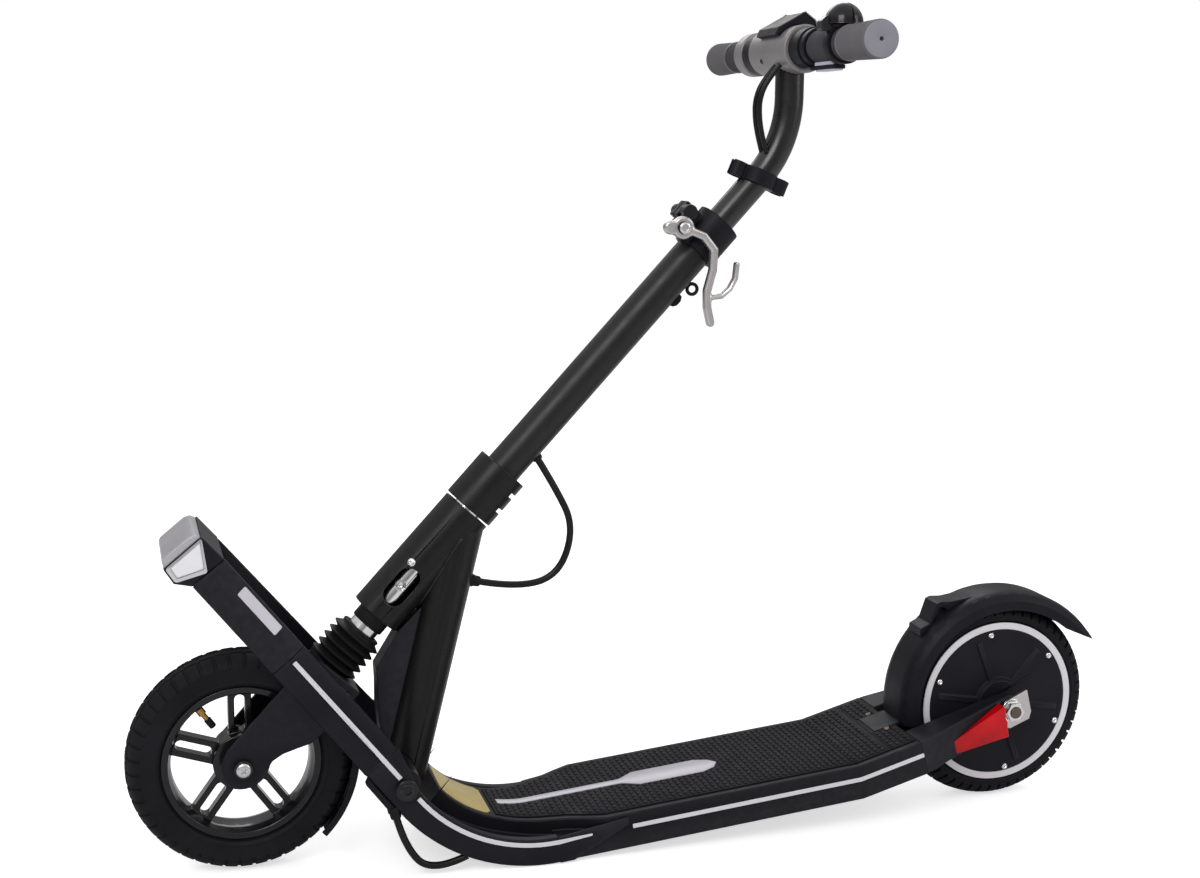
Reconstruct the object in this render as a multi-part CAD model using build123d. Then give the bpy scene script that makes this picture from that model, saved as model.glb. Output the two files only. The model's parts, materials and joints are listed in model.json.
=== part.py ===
"""Folding electric kick scooter, half folded: wheels and the belly of the front curve on the ground.

Millimetres and degrees. x runs rearward from the front axle, y to the scooter's right, z up from the
ground. The parts are moved at the end so that the origin is the bottom centre of the whole scooter.
"""
import os
from math import asin, atan2, cos, degrees, hypot, radians, sin, sqrt, tan

from build123d import *

# Wheels
WHEEL_R = 108.0
TYRE_HALF = 24.0
WHEELBASE = 795.0
FRONT_TYRE_HEIGHT = 34.0
FRONT_RIM_HALF = 20.0
FRONT_RIM_BAND = 8.4
FRONT_WELL_HALF = 8.0
BEAD_LIP = 1.5
FLANGE_HEIGHT = 1.6
BEAD_FIT = 0.1
SPOKE_PAIRS = 5
SPOKE_PAIR_WIDTH = 22.0
SPOKE_SLOT_WIDTH = 10.0
SPOKE_DEPTH = 14.0
SPOKE_TURN = -90.0
FRONT_HUB_R = 27.0
FRONT_HUB_HALF = 17.0
FRONT_AXLE_R = 5.0
AXLE_HEAD_R = 9.0
AXLE_HEAD = 6.0
BEARING_R = 13.0
BEARING_WIDTH = 8.0
VALVE_TURN = -126.0
VALVE_SIDE = -6.0
VALVE_R = 2.6
VALVE_LENGTH = 22.0
VALVE_BASE_R = 4.0
VALVE_BASE = 7.0
REAR_TYRE_HEIGHT = 24.0
REAR_RIM_HALF = 22.8
REAR_RIM_LIP = 1.8
REAR_FLANGE_HEIGHT = 2.6
COVER_INSET = 4.8
COVER_FACE = 25.0
COVER_SEAT = 18.8
COVER_RIBS = 6
COVER_RIB_TURN = 9.0
COVER_RIB_GAP = 8.2
COVER_RIB_WIDTH = 6.0
COVER_RIB_PROUD = 2.0
COVER_HUB_R = 27.0
COVER_HUB_TOP_R = 24.0
COVER_HUB_FACE = 30.0
COVER_FIT = 0.1
RING_PROUD = 1.6
REAR_AXLE_R = 6.0
REAR_AXLE_HALF = 66.0
STATOR_GAP = 21.2
STATOR_HALF = 14.0
SHELL_GAP = 3.5
RUN_FIT = 0.05

# Steering column, along its own axis from the crown of the front tyre
STEER_ANGLE = 47.5
FORK_OFFSET = 7.0
CROWN_LOW = 8.2
CROWN_HIGH = 15.4
CROWN_LENGTH = 48.0
CROWN_BACK = 7.0
SLEEVE_TOP = 42.0
SLEEVE_R = 18.0
SLEEVE_FLOOR = 2.8
LEG_GAP = 4.0
LEG_THICK = 5.0
LEG_EYE_R = 20.0
BOOT_TOP = 59.4
BOOT_R = 26.6
BOOT_ROOT_R = 20.6
BOOT_FOLDS = 5
BOOT_COLLAR = 4.0
BOOT_WALL = 1.8
BOOT_FIT = 0.4
STANCHION_R = 15.0
STANCHION_BORE_R = 11.0
STANCHION_LOW = 30.0
STANCHION_DIMPLE_R = 5.0
SPRING_TOP = 107.0
SPRING_R = 8.0
SPRING_WIRE_R = 1.5
SPRING_TURNS = 9
SPRING_FIT = 0.2
HEAD_LOW = 79.4
HEAD_HIGH = 213.4
HEAD_R = 25.5
HEAD_BORE_R = 21.0
HEAD_BEARING = 12.0
WINDOW_LOW = 96.0
WINDOW_HIGH = 138.0
WINDOW_WIDTH = 22.0
WINDOW_AHEAD = 4.0
COLLAR_LOW = 215.2
COLLAR_HIGH = 266.4
COLLAR_R = 26.6
COLLAR_SPLIT = 3.0
COLLAR_SLOT = 4.5
STEM_LOW = 239.0
STEM_HIGH = 582.0
STEM_R = 18.0
STEM_BORE_R = 14.3
CLAMP_LOW = 550.0
CLAMP_HIGH = 590.0
CLAMP_R = 23.0
CLAMP_EAR_HALF = 11.0
CLAMP_SPLIT = 2.4
SKEWER_AHEAD = 35.0
SKEWER_T = 572.0
SKEWER_R = 4.0
SKEWER_NUT_R = 7.5
LEVER_AHEAD = 32.4
LEVER_T = 554.6
LEVER_NEAR = -34.0
LEVER_FAR = -25.0
LEVER_PIN_R = 4.0
LEVER_EYE_R = 11.0
LEVER_WIDTH = 7.5
LEVER_HOOK_WIDTH = 4.8
LEVER_NOSE_WIDTH = 13.0

# Upper stem and handlebar
UPPER_R = 14.2
UPPER_BORE_R = 12.0
UPPER_LOW = 372.0
UPPER_FIT = 0.1
UPPER_BEND_T = 694.0
UPPER_BEND_R = 115.0
CLIP_LOW = 641.0
CLIP_HIGH = 656.0
CLIP_TILT = 20.0
CLIP_R = 18.6
CLIP_WING_AT = 23.0
CLIP_WING_R = 9.0
CLIP_WING_BORE_R = 6.0
CLIP_MOUTH = 7.0
BAR_BACK = 1.516
BAR_RISE = 90.433
BAR_HALF = 204.0
BAR_R = 11.0
BAR_WALL = 2.0
HUB_R = 23.0
HUB_LEFT = -37.0
HUB_RIGHT = 61.0
SIDE_GAP = 1.0
LEFT_CLAMP_R = 19.5
LEFT_CLAMP_WIDTH = 23.0
RIGHT_CLAMP_R = 21.0
RIGHT_CLAMP_WIDTH = 22.0
FLANGE_R = 22.0
FLANGE_GAP = 2.0
FLANGE_WIDTH = 21.0
THROTTLE_R = 18.0
THROTTLE_WIDTH = 10.5
THROTTLE_GAP = 0.5
PADDLE_DROP = 20.0
PADDLE_LENGTH = 57.0
PADDLE_WIDTH = 12.0
PADDLE_THICK = 3.6
GRIP_R = 15.5
LEFT_GRIP_LENGTH = 70.0
RIGHT_GRIP_LENGTH = 43.0
GRIP_END_R = 17.2
GRIP_CAP = 4.0
BELL_R = 18.0
BELL_TOP = 37.0
BELL_FOOT = 18.0
BELL_IN = 18.5
BELL_BAND_R = 18.5
BELL_BAND_WIDTH = 12.0
DISPLAY_LEFT = -18.0
DISPLAY_RIGHT = 36.0

# Front arm
PIVOT_X = 147.5
PIVOT_Z = 90.5
PIVOT_R = 8.0
PIVOT_HEAD_R = 10.5
PIVOT_HEAD = 5.0
PIVOT_AHEAD = 14.787583787
PIVOT_DOWN = 2.543096852
HINGE_TUBE_R = 16.0
HINGE_GAP = 0.5
STRUT_R = 24.0
STRUT_BORE_R = 19.0
STRUT_SOLID = 40.0
STRUT_BELOW = 14.0
STRUT_FOOT_X = 158.4
STRUT_FOOT_Z = 91.4
STRUT_ANGLE = 76.5
GUSSET_HALF = 13.0

# Side frame: rails, bend and deck
RAIL_ANGLE = 51.5
FRONT_ANGLE = 50.4
DECK_TILT = 6.0
BEND_R = 155.0
RAIL_HALF = 80.0
NOSE_HALF = 46.0
RAIL_WALL = 11.0
RAIL_UP = 15.8
BEND_UP = 4.5
RAIL_DOWN = 22.0
RAIL_EDGE = 2.0
CREASE_UP = 2.5
BEVEL = 6.5
KINK_AT = 50.0
SEAM_AT = 181.0
SEAM_GAP = 0.4
RAIL_END = 290.0
NOSE_END = 319.0
NOSE_CHIN = 32.5
NOSE_PROUD = 2.0
LAMP_UP = 11.0
LAMP_DOWN = 27.0
LAMP_PROUD = 0.6
LENS_END = 327.0
LENS_EDGE = 2.0
COVER_WALL = 2.5
FIN_LENGTH = 72.0
STRIP_HALF = 2.2
STRIP_PROUD = 1.2
STRIP_START = 27.0
STRIP_GAP = 4.0
BELLY_START = 228.5
BELLY_DOWN = 8.0
FLOOR_R = 114.0
FLOOR_START = 221.5
FLOOR_LEAD = 11.0
TONGUE_HALF = 43.0
LEDGE_UP = 2.0
DECK_HALF = 77.5
DECK_UP = 14.0
DECK_DOWN = 22.0
DECK_WALL = 4.0
DECK_COVER = 3.0
DECK_FIT = 0.4
CAVITY_START = 48.0
CAVITY_GAP = 8.0
BATTERY_HALF = 58.0
BATTERY_UP = 6.0
BATTERY_GAP = 8.0
CONTROLLER_LENGTH = 50.0
CONTROLLER_HALF = 40.0
CONTROLLER_UP = 4.0
CONTROLLER_GAP = 6.0
MAT_THICK = 2.5
MAT_FIRST = 255.0
MAT_MARGIN = 8.0
MAT_TAIL_GAP = 30.0
KICK_BEFORE = 180.2
WHEEL_CLEAR = 7.4
ARM_ROOT_INNER = 40.0
ARM_TIP_INNER = 38.0
ARM_TIP_OUTER = 52.0
ARM_TIP_HALF_HEIGHT = 15.0
LAMP_NEAR = -69.0
LAMP_FAR = -42.0
PLATE_THICK = 4.0
NUT_R = 10.5
NUT_HEIGHT = 7.2
WASHER_R = 12.5
WASHER = 1.5
NUT_GAP = 0.2

# Rear fender
FENDER_GAP = 12.0
FENDER_SIDE_GAP = 7.0
FENDER_WALL = 1.8
FENDER_DEPTH = 19.0
FENDER_TURN = 75.0
FENDER_BACK = 7.5
FENDER_SUNK = 2.5
FOOT_LENGTH = 30.0
FOOT_HALF = 20.0
FOOT_THICK = 2.4
TAIL_BACK = 116.0
TAIL_RISE = 59.0
BRACKET_HALF = 14.0

# Front mudguard
GUARD_GAP = 4.0
GUARD_SIDE_GAP = 4.0
GUARD_WALL = 2.2
GUARD_DEPTH = 8.0
GUARD_LOW = -45.0
GUARD_HIGH = 58.0

# Cables
LOOP_R = 3.5
BAR_CABLE_R = 2.5
LOOP_FIT = 0.4

# Sizes that follow from those above
FRONT_RIM_R = WHEEL_R - FRONT_TYRE_HEIGHT
RIM_OPENING_R = FRONT_RIM_R - FRONT_RIM_BAND
REAR_RIM_R = WHEEL_R - REAR_TYRE_HEIGHT
COVER_R = REAR_RIM_R - COVER_INSET
STATOR_R = COVER_R - STATOR_GAP
FENDER_R = WHEEL_R + FENDER_GAP
FENDER_HALF = TYRE_HALF + FENDER_SIDE_GAP
GUARD_R = WHEEL_R + GUARD_GAP
GUARD_HALF = TYRE_HALF + GUARD_SIDE_GAP
LEG_INNER = TYRE_HALF + LEG_GAP
LEG_OUTER = LEG_INNER + LEG_THICK
TAIL_X = WHEELBASE + TAIL_BACK
TAIL_Z = WHEEL_R + TAIL_RISE
X_SHIFT = (TAIL_X - WHEEL_R) / 2
THROUGH = 2 * BAR_HALF


def rod(radius, low, high):
    """A round bar on the local z axis."""
    return Pos(0, 0, (low + high) / 2) * Cylinder(radius, high - low)


def ring(outer, inner, low, high):
    """A round tube on the local z axis."""
    return rod(outer, low, high) - rod(inner, low - 1, high + 1)


def turned(points):
    """A body turned about the local z axis from (radius, height) points."""
    return revolve(Plane.XZ * make_face(Polyline(*points, close=True)), Axis.Z)


def mirrored(line):
    """The far half of a (radius, side) outline that is the same on both sides."""
    return [(r, -h) for r, h in reversed(line)]


def lateral(x, z):
    """A plane whose z axis runs across the scooter through (x, z)."""
    return Plane(origin=(x, 0, z), x_dir=(1, 0, 0), z_dir=(0, 1, 0))


def slab(points, low, high):
    """A side outline of (x, z) points, as thick as y runs from low to high."""
    face = make_face(Polyline(*points, close=True))
    return extrude(Plane.XZ.offset(-high) * face, amount=high - low)


def both(solid):
    """A part of the left side and its mirror on the right."""
    return [solid, mirror(solid, about=Plane.XZ)]


def largest(shape):
    """The main solid of a shape that a cut has split."""
    return shape.solids().sort_by(SortBy.VOLUME)[-1]


def tube_path(points):
    """A smooth path through corner points, each corner rounded as far as its runs allow."""
    vectors = [Vector(*p) for p in points]
    radii = []
    for before, corner, after in zip(vectors, vectors[1:], vectors[2:]):
        run_in = corner - before
        run_out = after - corner
        turn = radians(run_in.get_angle(run_out))
        radii.append(0.45 * min(run_in.length, run_out.length) / tan(turn / 2))
    edges = []
    start = vectors[0]
    for index, radius in enumerate(radii):
        corner = vectors[index + 1]
        run_in = (corner - vectors[index]).normalized()
        run_out = (vectors[index + 2] - corner).normalized()
        turn = radians(run_in.get_angle(run_out))
        reach = radius * tan(turn / 2)
        first = corner - run_in * reach
        last = corner + run_out * reach
        edges.append(Line(start, first))
        edges.append(TangentArc(first, last, tangent=run_in))
        start = last
    edges.append(Line(start, vectors[-1]))
    print("bend radii", [round(r, 1) for r in radii])
    return Wire([edge.edge() for edge in edges])


def cord(points, radius):
    """A round cord along rounded corner points."""
    path = tube_path(points)
    start = Vector(*points[0])
    heading = Vector(*points[1]) - start
    section = Plane(origin=start, z_dir=heading) * Circle(radius)
    print("cord length", round(path.length, 1))
    return sweep(section, path=path)


# Directions
steer = radians(STEER_ANGLE)
STEM_X = FORK_OFFSET * sin(steer) + WHEEL_R * cos(steer)
STEM_Z = WHEEL_R - FORK_OFFSET * cos(steer) + WHEEL_R * sin(steer)
STEM = Plane(origin=(STEM_X, 0, STEM_Z), x_dir=(sin(steer), 0, -cos(steer)),
             z_dir=(cos(steer), 0, sin(steer)))
FRONT_AXLE = lateral(0, WHEEL_R)
REAR_AXLE = lateral(WHEELBASE, WHEEL_R)
PIVOT = lateral(PIVOT_X, PIVOT_Z)


def stem_point(across, along):
    """Side coordinates of a point on the steering column, across it (rearward) and along it."""
    x = STEM_X + across * sin(steer) + along * cos(steer)
    return (x, STEM_Z - across * cos(steer) + along * sin(steer))


corner_x, corner_z = stem_point(0, UPPER_BEND_T)
BAR_X = corner_x + BAR_BACK
BAR_Z = corner_z + BAR_RISE
BAR = lateral(BAR_X, BAR_Z)

rail = radians(RAIL_ANGLE)
front = radians(FRONT_ANGLE)
deck = radians(DECK_TILT)
# the bend starts a little behind the pivot, which lies just under the rail's line
RAIL_X = PIVOT_X + PIVOT_AHEAD * cos(rail) + PIVOT_DOWN * sin(rail)
RAIL_Z = PIVOT_Z - PIVOT_AHEAD * sin(rail) + PIVOT_DOWN * cos(rail)
BEND_X = RAIL_X + BEND_R * sin(rail)
BEND_Z = RAIL_Z + BEND_R * cos(rail)
DECK_X = BEND_X + BEND_R * sin(deck)
DECK_Z = BEND_Z - BEND_R * cos(deck)
# the tail of the deck points at the rear axle
KICK_X = WHEELBASE - KICK_BEFORE
KICK_AT = (KICK_X - DECK_X) / cos(deck)
KICK_Z = DECK_Z + KICK_AT * sin(deck)
kick = atan2(WHEEL_R - KICK_Z, KICK_BEFORE)
TO_AXLE = hypot(KICK_BEFORE, WHEEL_R - KICK_Z)
DECK_TAIL = TO_AXLE - WHEEL_R - WHEEL_CLEAR


def rail_point(along, up):
    x = RAIL_X - along * cos(rail) + up * sin(rail)
    return (x, RAIL_Z + along * sin(rail) + up * cos(rail))


def front_point(along, up):
    """Side coordinates on the front of the rail, which leans a little flatter past the kink."""
    x, z = rail_point(KINK_AT, 0)
    run = along - KINK_AT
    return (x - run * cos(front) + up * sin(front), z + run * sin(front) + up * cos(front))


def deck_point(along, up):
    x = DECK_X + along * cos(deck) - up * sin(deck)
    return (x, DECK_Z + along * sin(deck) + up * cos(deck))


def kick_point(along, up):
    x = KICK_X + along * cos(kick) - up * sin(kick)
    return (x, KICK_Z + along * sin(kick) + up * cos(kick))


def kick_corner(up):
    middle = (deck + kick) / 2
    reach = up / cos((kick - deck) / 2)
    return (KICK_X - reach * sin(middle), KICK_Z + reach * cos(middle))


def bend_point(angle, up):
    turn = radians(angle)
    return (BEND_X + (BEND_R - up) * cos(turn), BEND_Z + (BEND_R - up) * sin(turn))


def axle_point(x, z):
    """Side coordinates from the rear axle."""
    return (WHEELBASE + x, WHEEL_R + z)


RAIL_TURN = RAIL_ANGLE + DECK_TILT
BEND_LAST = 270 + DECK_TILT
BEND_AXIS = Axis((BEND_X, 0, BEND_Z), (0, -1, 0))
SLOPE = (RAIL_HALF - NOSE_HALF) / (LENS_END - KINK_AT)
RUN = hypot(1, SLOPE)


def rail_half(along):
    """Outer half width of the frame along the rail."""
    return RAIL_HALF - SLOPE * max(0, along - KINK_AT)


def rail_plane(along):
    x, z = rail_point(along, 0)
    heading = (-cos(rail), 0, sin(rail))
    return Plane(origin=(x, -RAIL_HALF, z), x_dir=(sin(rail), 0, cos(rail)), z_dir=heading)


def front_plane(along):
    """A section plane square to the converging front of the left rail."""
    x, z = front_point(along, 0)
    heading = (-cos(front), SLOPE, sin(front))
    return Plane(origin=(x, -rail_half(along), z), x_dir=(sin(front), 0, cos(front)), z_dir=heading)


def section(inset=0.0, wall=RAIL_WALL, top=RAIL_UP, bevel=BEVEL):
    """Rail section: up from the strip line, and in from the outer face."""
    points = [(-RAIL_DOWN, RAIL_EDGE + inset), (RAIL_EDGE - RAIL_DOWN, inset), (CREASE_UP, inset)]
    points += [(top - inset, bevel + inset * 0.6), (top - inset, wall), (-RAIL_DOWN, wall)]
    return make_face(Polyline(*points, close=True))


def strip_face():
    points = [(-STRIP_HALF, -STRIP_PROUD), (STRIP_HALF, -STRIP_PROUD), (STRIP_HALF, 0), (-STRIP_HALF, 0)]
    return make_face(Polyline(*points, close=True))


def along_front(face, first, last):
    return extrude(front_plane(first) * face, amount=(last - first) * RUN)


def along_rail(face, first, last):
    return extrude(rail_plane(first) * face, amount=last - first)


def along_bend(face):
    return revolve(rail_plane(0) * face, axis=BEND_AXIS, revolution_arc=RAIL_TURN)


def front_slab(points, low, high):
    return slab([front_point(*p) for p in points], low, high)


def deck_slab(points, low, high):
    return slab([deck_point(*p) for p in points], low, high)


def deck_box(first, last, low, high, half):
    """A box in the deck, along and up from its line."""
    return deck_slab([(first, low), (last, low), (last, high), (first, high)], -half, half)


parts = {}

# Rails
pivot_hole = PIVOT * rod(PIVOT_R, -RAIL_HALF - PIVOT_HEAD, RAIL_HALF + PIVOT_HEAD)
lower = along_rail(section(), 0, KINK_AT + 1.5) + along_front(section(), KINK_AT, SEAM_AT)
upper = along_front(section(COVER_WALL), SEAM_AT - 0.5, RAIL_END)
fin = deck_slab([(0, BEND_UP), (0, -RAIL_DOWN), (14, -RAIL_DOWN), (FIN_LENGTH, CREASE_UP + 0.5),
                 (FIN_LENGTH, DECK_UP - 3)], -RAIL_HALF, -DECK_HALF)
# the rail gets lower towards the bend
taper_at = KINK_AT - 4
over = 3 * RAIL_UP
taper = slab([rail_point(taper_at, RAIL_UP + 0.1), rail_point(0, BEND_UP), rail_point(-0.1, BEND_UP),
              rail_point(-0.1, over), rail_point(taper_at, over)],
             -RAIL_HALF - 5, RAIL_WALL - RAIL_HALF + 5)
bend = along_bend(section(top=BEND_UP, bevel=RAIL_EDGE))
left_rail = lower - taper + upper + bend + fin - pivot_hole
parts["left_rail"] = left_rail
parts["right_rail"] = mirror(left_rail, about=Plane.XZ)
cover = along_front(section(), SEAM_AT + SEAM_GAP, RAIL_END)
cover = cover - along_front(section(COVER_WALL, RAIL_WALL + 5), SEAM_AT - 3, RAIL_END + 3)
parts["rail_covers"] = both(cover)

# Nose with its lamp
nose = front_slab([(RAIL_END, RAIL_UP), (NOSE_END, RAIL_UP - 1), (NOSE_END, 2 - NOSE_CHIN),
                   (RAIL_END + 13, -NOSE_CHIN), (RAIL_END, -RAIL_DOWN)],
                  -NOSE_HALF - NOSE_PROUD, NOSE_HALF + NOSE_PROUD)
window = front_slab([(NOSE_END - 2, LAMP_UP), (RAIL_END + 5, -3), (RAIL_END + 15, -LAMP_DOWN),
                     (NOSE_END - 2, 2 - LAMP_DOWN)],
                    -NOSE_HALF - NOSE_PROUD - LAMP_PROUD, -NOSE_HALF + 1)
windows = both(window)
parts["nose_housing"] = nose - windows[0] - windows[1]
lens = front_slab([(NOSE_END, RAIL_UP - 2), (LENS_END - LENS_EDGE, RAIL_UP - 5), (LENS_END, RAIL_UP - 11),
                   (LENS_END, 9 - NOSE_CHIN), (LENS_END - LENS_EDGE, 5 - NOSE_CHIN),
                   (NOSE_END, 3 - NOSE_CHIN)], -NOSE_HALF, NOSE_HALF)
parts["lamp_lenses"] = [lens] + windows

# Light strips
strip = along_rail(strip_face(), STRIP_START, KINK_AT + 0.5)
strip = strip + along_front(strip_face(), KINK_AT, SEAM_AT - STRIP_GAP) - left_rail
bend_strip = along_bend(strip_face())
strip_last = FIN_LENGTH / 2 - 2
bend_strip = bend_strip + deck_slab([(-0.2, -STRIP_HALF), (strip_last, 0), (strip_last, STRIP_HALF),
                                     (-0.2, STRIP_HALF)], -RAIL_HALF - STRIP_PROUD, -RAIL_HALF)
strip_first = FIN_LENGTH + STRIP_GAP
deck_strip = slab([deck_point(strip_first, -STRIP_HALF), kick_corner(-STRIP_HALF),
                   kick_point(DECK_TAIL, -STRIP_HALF), kick_point(DECK_TAIL, STRIP_HALF),
                   kick_corner(STRIP_HALF), deck_point(strip_first, STRIP_HALF)],
                  -DECK_HALF - STRIP_PROUD, -DECK_HALF)
parts["light_strips"] = both(strip) + both(bend_strip) + both(deck_strip)


# Deck
def plan(margin):
    """The deck's outline from above: a narrow tongue in front that widens to the full deck."""
    half = [(DECK_X - 2 * BEND_R, TONGUE_HALF), (DECK_X - 50, TONGUE_HALF), (DECK_X - 24, TONGUE_HALF + 6),
            (DECK_X - 4, TONGUE_HALF + 12), (DECK_X + 15, TONGUE_HALF + 18), (DECK_X + 32, TONGUE_HALF + 27),
            (DECK_X + 49, DECK_HALF), (WHEELBASE, DECK_HALF)]
    points = [(x, margin - y) for x, y in half] + [(x, y - margin) for x, y in reversed(half)]
    return extrude(make_face(Polyline(*points, close=True)), amount=BEND_Z + BEND_R)


floor_x, floor_z = deck_point(-FLOOR_LEAD, DECK_UP)
FLOOR_X = floor_x - FLOOR_R * sin(deck)
FLOOR_Z = floor_z + FLOOR_R * cos(deck)


def floor_point(angle, up):
    """A point over the tongue, which curves more tightly than the rails."""
    turn = radians(angle)
    return (FLOOR_X + (FLOOR_R - up) * cos(turn), FLOOR_Z + (FLOOR_R - up) * sin(turn))


def floor_line(first, last, up, count=10):
    return [floor_point(first + (last - first) * index / count, up) for index in range(count + 1)]


inner = DECK_HALF - DECK_WALL
floor_half = RAIL_HALF - RAIL_WALL
cavity_end = KICK_AT - CAVITY_GAP
base = slab([deck_point(0, LEDGE_UP), deck_point(0, -DECK_DOWN), kick_corner(-DECK_DOWN),
             kick_point(DECK_TAIL, -DECK_DOWN), kick_point(DECK_TAIL, LEDGE_UP), kick_corner(LEDGE_UP)],
            -DECK_HALF, DECK_HALF)
belly_angles = [BELLY_START + (BEND_LAST - BELLY_START) * index / 12 for index in range(13)]
belly = [bend_point(angle, -BELLY_DOWN) for angle in belly_angles] + [deck_point(1, -BELLY_DOWN)]
under = LEDGE_UP - 1
top = slab(belly + [deck_point(1, under), kick_corner(under), kick_point(DECK_TAIL, under),
                    kick_point(DECK_TAIL, DECK_UP), kick_corner(DECK_UP)]
           + floor_line(BEND_LAST, FLOOR_START, 0), -DECK_HALF, DECK_HALF)
plate_up = LEDGE_UP - DECK_WALL
belly_plate = slab(belly + [deck_point(1, plate_up)]
                   + [bend_point(angle, plate_up) for angle in reversed(belly_angles)],
                   -floor_half, floor_half)
cavity = deck_box(CAVITY_START, cavity_end, -DECK_DOWN - 2, DECK_UP - DECK_WALL, inner)
deck_tray = (top & plan(0)) + base + belly_plate - cavity
parts["deck_tray"] = deck_tray
inside = DECK_COVER - DECK_DOWN
parts["bottom_cover"] = deck_box(CAVITY_START + DECK_FIT, cavity_end - DECK_FIT, -DECK_DOWN, inside,
                                 inner - DECK_FIT)
controller_first = cavity_end - CONTROLLER_GAP - CONTROLLER_LENGTH
parts["battery_pack"] = deck_box(CAVITY_START + BATTERY_GAP, controller_first - BATTERY_GAP, inside,
                                 BATTERY_UP, BATTERY_HALF)
parts["motor_controller"] = deck_box(controller_first, cavity_end - CONTROLLER_GAP, inside, CONTROLLER_UP,
                                     CONTROLLER_HALF)
mat_top = DECK_UP + MAT_THICK
mat_end = DECK_TAIL - MAT_TAIL_GAP
mat_line = floor_line(MAT_FIRST, BEND_LAST, 0, 5)
mat_line += [kick_corner(DECK_UP), kick_point(mat_end, DECK_UP), kick_point(mat_end, mat_top)]
mat_line += [kick_corner(mat_top)] + floor_line(BEND_LAST, MAT_FIRST, MAT_THICK, 5)
parts["deck_mat"] = (slab(mat_line, -DECK_HALF, DECK_HALF) & plan(MAT_MARGIN)) - deck_tray


# Rear arms, lamps and axle
def arm_face(along, low, high, near, far):
    """A section of the arm square to the tail of the deck."""
    x, z = kick_point(along, 0)
    plane = Plane(origin=(x, 0, z), x_dir=(-sin(kick), 0, cos(kick)), z_dir=(cos(kick), 0, sin(kick)))
    return plane * make_face(Polyline((low, near), (high, near), (high, far), (low, far), close=True))


axle_hole = REAR_AXLE * rod(REAR_AXLE_R, -REAR_AXLE_HALF, REAR_AXLE_HALF)
root = arm_face(DECK_TAIL, -DECK_DOWN, DECK_UP, ARM_ROOT_INNER, DECK_HALF)
tip = arm_face(TO_AXLE, -ARM_TIP_HALF_HEIGHT, ARM_TIP_HALF_HEIGHT, ARM_TIP_INNER, ARM_TIP_OUTER)
arm = loft([root, tip]) + REAR_AXLE * rod(ARM_TIP_HALF_HEIGHT, -ARM_TIP_OUTER, -ARM_TIP_INNER) - axle_hole
parts["rear_arms"] = both(arm)
lamp_line = [(-82, -29), (-16, 9), (-12, -2), (-11, -14), (-9, -24), (-74, -39)]
lamp = slab([axle_point(*p) for p in lamp_line], LAMP_NEAR, LAMP_FAR) - arm
lamp = lamp - REAR_AXLE * rod(WASHER_R + 1.5, LAMP_NEAR - 5, 0)
parts["tail_lamps"] = both(lamp)
plate_line = [(17, 21), (23, -3), (21, -11), (-1, -20), (-8, -18), (-9, 9)]
plate_face = -ARM_TIP_OUTER - PLATE_THICK
plate = slab([axle_point(*p) for p in plate_line], plate_face, -ARM_TIP_OUTER) - lamp - arm - axle_hole
parts["dropout_plates"] = both(plate)
parts["rear_axle"] = axle_hole
nut_face = plate_face - WASHER - NUT_HEIGHT + NUT_GAP
nut = extrude(Pos(0, 0, nut_face) * RegularPolygon(NUT_R, 6), amount=NUT_HEIGHT)
nut = REAR_AXLE * (rod(WASHER_R, plate_face - WASHER, plate_face) + nut) - axle_hole
parts["rear_axle_nuts"] = both(nut)
parts["motor_stator"] = REAR_AXLE * ring(STATOR_R, REAR_AXLE_R, -STATOR_HALF, STATOR_HALF)

# Rear wheel
well = REAR_RIM_HALF - REAR_RIM_LIP
rim_edge = REAR_RIM_R + REAR_FLANGE_HEIGHT
cover_seat_r = COVER_R + COVER_FIT
shell_half = [(STATOR_R + SHELL_GAP, -COVER_SEAT), (cover_seat_r, -COVER_SEAT),
              (cover_seat_r, -REAR_RIM_HALF), (rim_edge, -REAR_RIM_HALF), (rim_edge, -well),
              (REAR_RIM_R, -well)]
parts["hub_shell"] = REAR_AXLE * turned(shell_half + mirrored(shell_half))
bore = REAR_AXLE_R + RUN_FIT
disc = turned([(bore, -COVER_HUB_FACE), (bore, -STATOR_HALF - 1.5), (COVER_HUB_R - 7, -STATOR_HALF - 1.5),
               (COVER_HUB_R - 5, -COVER_SEAT), (COVER_R, -COVER_SEAT), (COVER_R, 0.8 - COVER_FACE),
               (COVER_R - 1, -COVER_FACE), (COVER_HUB_R, -COVER_FACE), (COVER_HUB_TOP_R, -COVER_HUB_FACE)])
rib_first = COVER_HUB_TOP_R + 1
rib_last = COVER_R - COVER_RIB_GAP
rib = Pos((rib_first + rib_last) / 2, 0, -COVER_FACE - COVER_RIB_PROUD / 2 + 0.5) * Box(
    rib_last - rib_first, COVER_RIB_WIDTH, COVER_RIB_PROUD + 1)
for index in range(COVER_RIBS):
    disc = disc + Rot(0, 0, COVER_RIB_TURN + 360 / COVER_RIBS * index) * rib
parts["hub_covers"] = both(REAR_AXLE * disc)
parts["rim_rings"] = both(REAR_AXLE * ring(rim_edge, cover_seat_r + COVER_FIT, -REAR_RIM_HALF - RING_PROUD,
                                           -REAR_RIM_HALF))


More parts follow.
